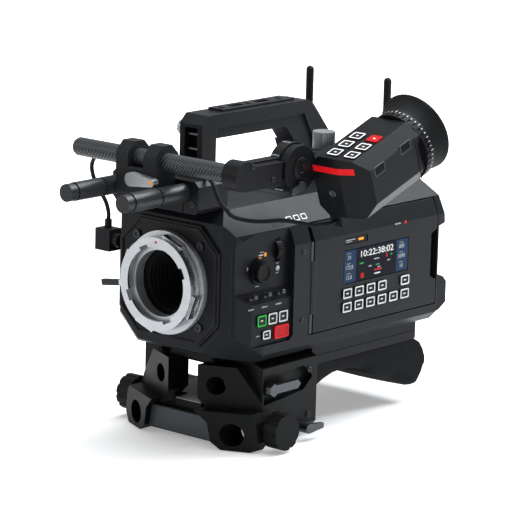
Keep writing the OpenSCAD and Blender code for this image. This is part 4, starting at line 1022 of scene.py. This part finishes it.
def finderTrim():
    f = finderFit
    side = finder["side"]
    length, height = f["latchSize"]
    for place, u, v in f["latches"]:
        for layer, inset, proud, material in f["latchLayers"]:
            bm = bmesh.new()
            low = (side - 0.3, u + inset, v + inset)
            addBox(bm, low, (side + proud, u + length - inset, v + height - inset), 0.1)
            finderPiece(f"finder_{layer}_{place}", bm, material)
    bm = bmesh.new()
    low = (side - 0.2, f["groove"], finder["axis"] - 20)
    addBox(bm, low, (side + 0.15, f["groove"] + 0.7, finder["top"] - 11))
    finderPiece("finder_groove", bm, "black")
    window = (finder["x"] + f["window"][0], finder["front"], f["window"][1])
    finderLathe("finder_eye_ring", f["windowRing"], window, (0, -1, 0), "bright", 28)
    finderLathe("finder_eye_glass", f["windowGlass"], window, (0, -1, 0), "lens", 24)
    eye = (finder["mid"], finder["back"], finder["axis"])
    finderLathe("eyepiece_dome", f["dome"], eye, (0, 1, 0), "lens", 48)


# White scale round the diopter ring, each sixth tick longer
ticks = {
    "radius": 29.56,
    "first": 92.6,
    "count": 48,
    "long": 3.2,
    "short": 1.8,
    "width": 1.1,  # in degrees
}


def diopterTicks():
    bm = bmesh.new()
    axis = mm(finder["mid"], 0, finder["axis"])
    width = math.radians(ticks["width"])
    for k in range(ticks["count"]):
        w = math.tau * k / ticks["count"] + width / 2
        spot = axis + mm(ticks["radius"] * math.cos(w), ticks["first"], ticks["radius"] * math.sin(w))
        length = ticks["short"] if k % 6 else ticks["long"]
        ends = [bm.verts.new(spot + mm(0, length, 0)), bm.verts.new(spot)]  # in this order it faces outwards
        line = bm.edges.new(ends)
        bmesh.ops.spin(bm, geom=[*ends, line], cent=axis, axis=(0, 1, 0), angle=width, steps=1)
    finderPiece("diopter_ticks", bm, "white", "diopter_ring")


# Keys and hatch on the body's sloping shoulder, between its lower and its upper edge
shoulder = {
    "lower": (62.0, 44),
    "upper": (46.24, 63),
    "share": 0.25,
    "keys": (88.0, 97.0, 106.0),
    "keySize": (5.2, 6.4),
    "rim": 0.9,
    "hatch": 73.5,
    "hatchSize": (8.4, 15),
}


def shoulderMatrix(y):
    lower, upper = (Vector((x, 0, z)) for x, z in (shoulder["lower"], shoulder["upper"]))
    down = (lower - upper).normalized()
    normal = Vector((-down.z, 0, down.x))
    spot = lower.lerp(upper, shoulder["share"])
    turn = Matrix((down, Vector((0, 1, 0)), normal)).transposed().to_4x4()
    return Matrix.Translation(mm(spot.x, y, spot.z)) @ turn


def shoulderPiece(name, y, size, r, low, thick, material):
    bm = bmesh.new()
    addPrism(bm, roundedOutline(0, 0, *size, r), "z", low, thick)
    bmesh.ops.transform(bm, matrix=shoulderMatrix(y), verts=bm.verts)
    finishPiece(name, bm, material, "root")


def shoulderKeys():
    size = shoulder["keySize"]
    face = [side - 2 * shoulder["rim"] for side in size]
    for i, y in enumerate(shoulder["keys"]):
        shoulderPiece(f"shoulder_key_{i}", y, size, 0.8, -0.3, 0.7, "white")
        shoulderPiece(f"shoulder_key_face_{i}", y, face, 0.4, 0.35, 0.1, "panel")
    shoulderPiece("shoulder_hatch", shoulder["hatch"], shoulder["hatchSize"], 1.2, -0.3, 0.42, "panel")


# Cap and ring marks on the elbow's pivot disc
pivot = {
    "centre": (104.6, 45, 102),
    "cap": [(9.0, -0.1), (9.0, 0.9), (8.2, 1.4), (3.2, 1.4), (2.6, 0.8)],
    "ticks": 8,
    "tickRing": 20.0,
    "tickStart": 0.2,  # in radians
    "tickHalf": 0.5,
    "tickX": (88.6, 96.4),
}


def discTrim():
    p = pivot
    lathePiece("pivot_cap", p["cap"], p["centre"], (1, 0, 0), "finder", "finder", 40)
    for k in range(p["ticks"]):
        a = math.tau * k / p["ticks"] + p["tickStart"]
        y = p["centre"][1] + p["tickRing"] * math.cos(a)
        z = p["centre"][2] + p["tickRing"] * math.sin(a)
        half = p["tickHalf"]
        low, high = (p["tickX"][0], y - half, z - half), (p["tickX"][1], y + half, z + half)
        boxPiece(f"pivot_tick_{k}", low, high, "greyPrint", "arm")


# Dot on the clamp's lever, and pins across the handle's post
dot = {"centre": (22, -37.8, 89), "profile": [(1.7, -0.1), (1.7, 0.2), (1.2, 0.35)]}
pins = {"y": 37.5, "levels": (90, 104, 116), "profile": [(1.6, -5.8), (1.6, 5.8)]}


def leverDot():
    lathePiece("lever_dot", dot["profile"], dot["centre"], (0, -1, 0), "orange", "clamp_lever", 24)


def handlePins():
    for k, z in enumerate(pins["levels"]):
        lathePiece(f"handle_pin_{k}", pins["profile"], (0, pins["y"], z), (1, 0, 0), "bright", "root", 20)


# Rear: sockets of the connector module, x to radius, and contacts of the battery plate
rear = {
    "sockets": {-44: 8.5, -20: 8.5, 4: 5.5, 28: 5.5},
    "y": 292,
    "z": -40,
    "contacts": 4,
    "contactX": -9,
    "contactPitch": 5,
    "contactWidth": 2.4,
    "contactY": (281.8, 282.9),
    "contactZ": (-10, 2),
}


def makeRear():
    for i, (x, r) in enumerate(rear["sockets"].items()):
        centre = (x, rear["y"], rear["z"])
        wall = [(r, -0.5), (r, 2.2), (r - 0.8, 2.8), (r - 1.6, 2.8), (r - 1.6, -0.5)]
        face = [(r - 1.7, 0.1), (r - 1.7, 0.4)]
        lathePiece(f"rear_socket_{i}", wall, centre, (0, 1, 0), "lever", "root", 36, closed=True)
        lathePiece(f"rear_socket_face_{i}", face, centre, (0, 1, 0), "black", "root", 32, smooth=False)
    for k in range(rear["contacts"]):
        x = rear["contactX"] + k * rear["contactPitch"]
        low = (x, rear["contactY"][0], rear["contactZ"][0])
        high = (x + rear["contactWidth"], rear["contactY"][1], rear["contactZ"][1])
        boxPiece(f"battery_contact_{k}", low, high, "gold", "root", 0.2)


# Studio, in metres: white sweep that keeps the object's shadow, and soft light
studio = {
    "half": 6.0,
    "gap": 0.0006,
    "floor": (0.86, 0.86, 0.86),
    "near": 0.5,  # the floor's own white grows from this distance out
    "ownNear": 0.32,
    "ownGrowth": 0.7,
    "mirror": 0.3,
    "ground": 0.2,
    "backdrop": 0.8,
    "mirrorWorld": 0.15,
    "aim": (0.03, 0.1, 0.0),
}
lamps = {
    "top": {"place": (0.1, 0.3, 1.5), "size": (1.5, 1.5), "power": 44, "tint": (0.96, 0.98, 1)},
    "frontLeft": {"place": (-1.3, -1.3, 0.8), "size": (0.9, 1.2), "power": 7, "tint": (1, 1, 1)},
    "right": {"place": (1.6, 0.1, 0.7), "size": (1.0, 1.4), "power": 1.6, "tint": (1, 1, 1)},
    "rearRim": {"place": (0.4, 1.5, 1.25), "size": (1.1, 0.8), "power": 32, "tint": (0.9, 0.95, 1)},
}


# 1 for what the camera sees straight, and 1 for what it sees in metal or through glass
def rayMasks(tree):
    rays = addNode(tree, "LightPath").out.node.outputs
    kinds = ("Camera", "Glossy", "Transmission")
    camera, glossy, through = (Sock(tree, rays[f"Is {kind} Ray"]) for kind in kinds)
    return camera, (glossy + through).clamp() * (1 - camera)


def floorMaterial():
    mat = bpy.data.materials.new("floorWhite")
    mat.use_nodes = True
    tree = mat.node_tree
    tree.nodes.remove(tree.nodes["Principled BSDF"])
    camera, mirrored = rayMasks(tree)
    where = addNode(tree, "TexCoord", out="Object")
    reach = addNode(tree, "VectorMath", {"operation": "LENGTH"}, {0: where}, out="Value")
    growth = (reach - studio["near"]).clamp() * studio["ownGrowth"]
    strength = (camera + mirrored * studio["mirror"]) * (growth + studio["ownNear"])
    matt = addNode(tree, "BsdfDiffuse", sockets={"Color": studio["floor"]})
    own = addNode(tree, "Emission", sockets={"Color": (1, 1, 1), "Strength": strength})
    both = addNode(tree, "AddShader", sockets={0: matt, 1: own})
    feed(tree, tree.nodes["Material Output"].inputs["Surface"], both)
    return mat


def makeStage():
    bm = bmesh.new()
    bmesh.ops.create_grid(bm, x_segments=1, y_segments=1, size=studio["half"])
    bmesh.ops.translate(bm, vec=(0, 0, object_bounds()[0][2] - studio["gap"]), verts=bm.verts)
    mesh = bpy.data.meshes.new("floor")
    bm.to_mesh(mesh)
    bm.free()
    mesh.materials.append(floorMaterial())
    floor = bpy.data.objects.new("floor", mesh)
    bpy.context.scene.collection.objects.link(floor)


def makeWorld():
    world = bpy.data.worlds.new("studio")
    bpy.context.scene.world = world
    world.use_nodes = True
    tree = world.node_tree
    background = tree.nodes["Background"]
    camera, mirrored = rayMasks(tree)
    strength = camera * studio["backdrop"] + mirrored * studio["mirrorWorld"] + studio["ground"]
    feed(tree, background.inputs["Color"], (1, 1, 1))
    feed(tree, background.inputs["Strength"], strength)


def makeLights():
    for name, look in lamps.items():
        lamp = bpy.data.lights.new(name, "AREA")
        lamp.shape = "RECTANGLE"
        lamp.size, lamp.size_y = look["size"]
        lamp.energy = look["power"]
        lamp.color = look["tint"]
        obj = bpy.data.objects.new(name, lamp)
        bpy.context.scene.collection.objects.link(obj)
        obj.location = look["place"]
        aim = Vector(studio["aim"]) - obj.location
        obj.rotation_euler = aim.to_track_quat("-Z", "Y").to_euler()


makeCamera()
makeCable()
dressFrame()
print("camera, cable and finishes")
makePad()
makeEyecup()
print("soft parts")
makeScreen()
makeMarks()
keyIcons()
finderKeys()
print("screen and keys")
makeThroat()
makeScrews()
makeTrim()
finderTrim()
diopterTicks()
shoulderKeys()
discTrim()
leverDot()
makeRear()
handlePins()
print("small fittings")
makeStage()
makeWorld()
makeLights()
print("stage, world and lamps")
bpy.context.scene.view_settings.view_transform = "Standard"
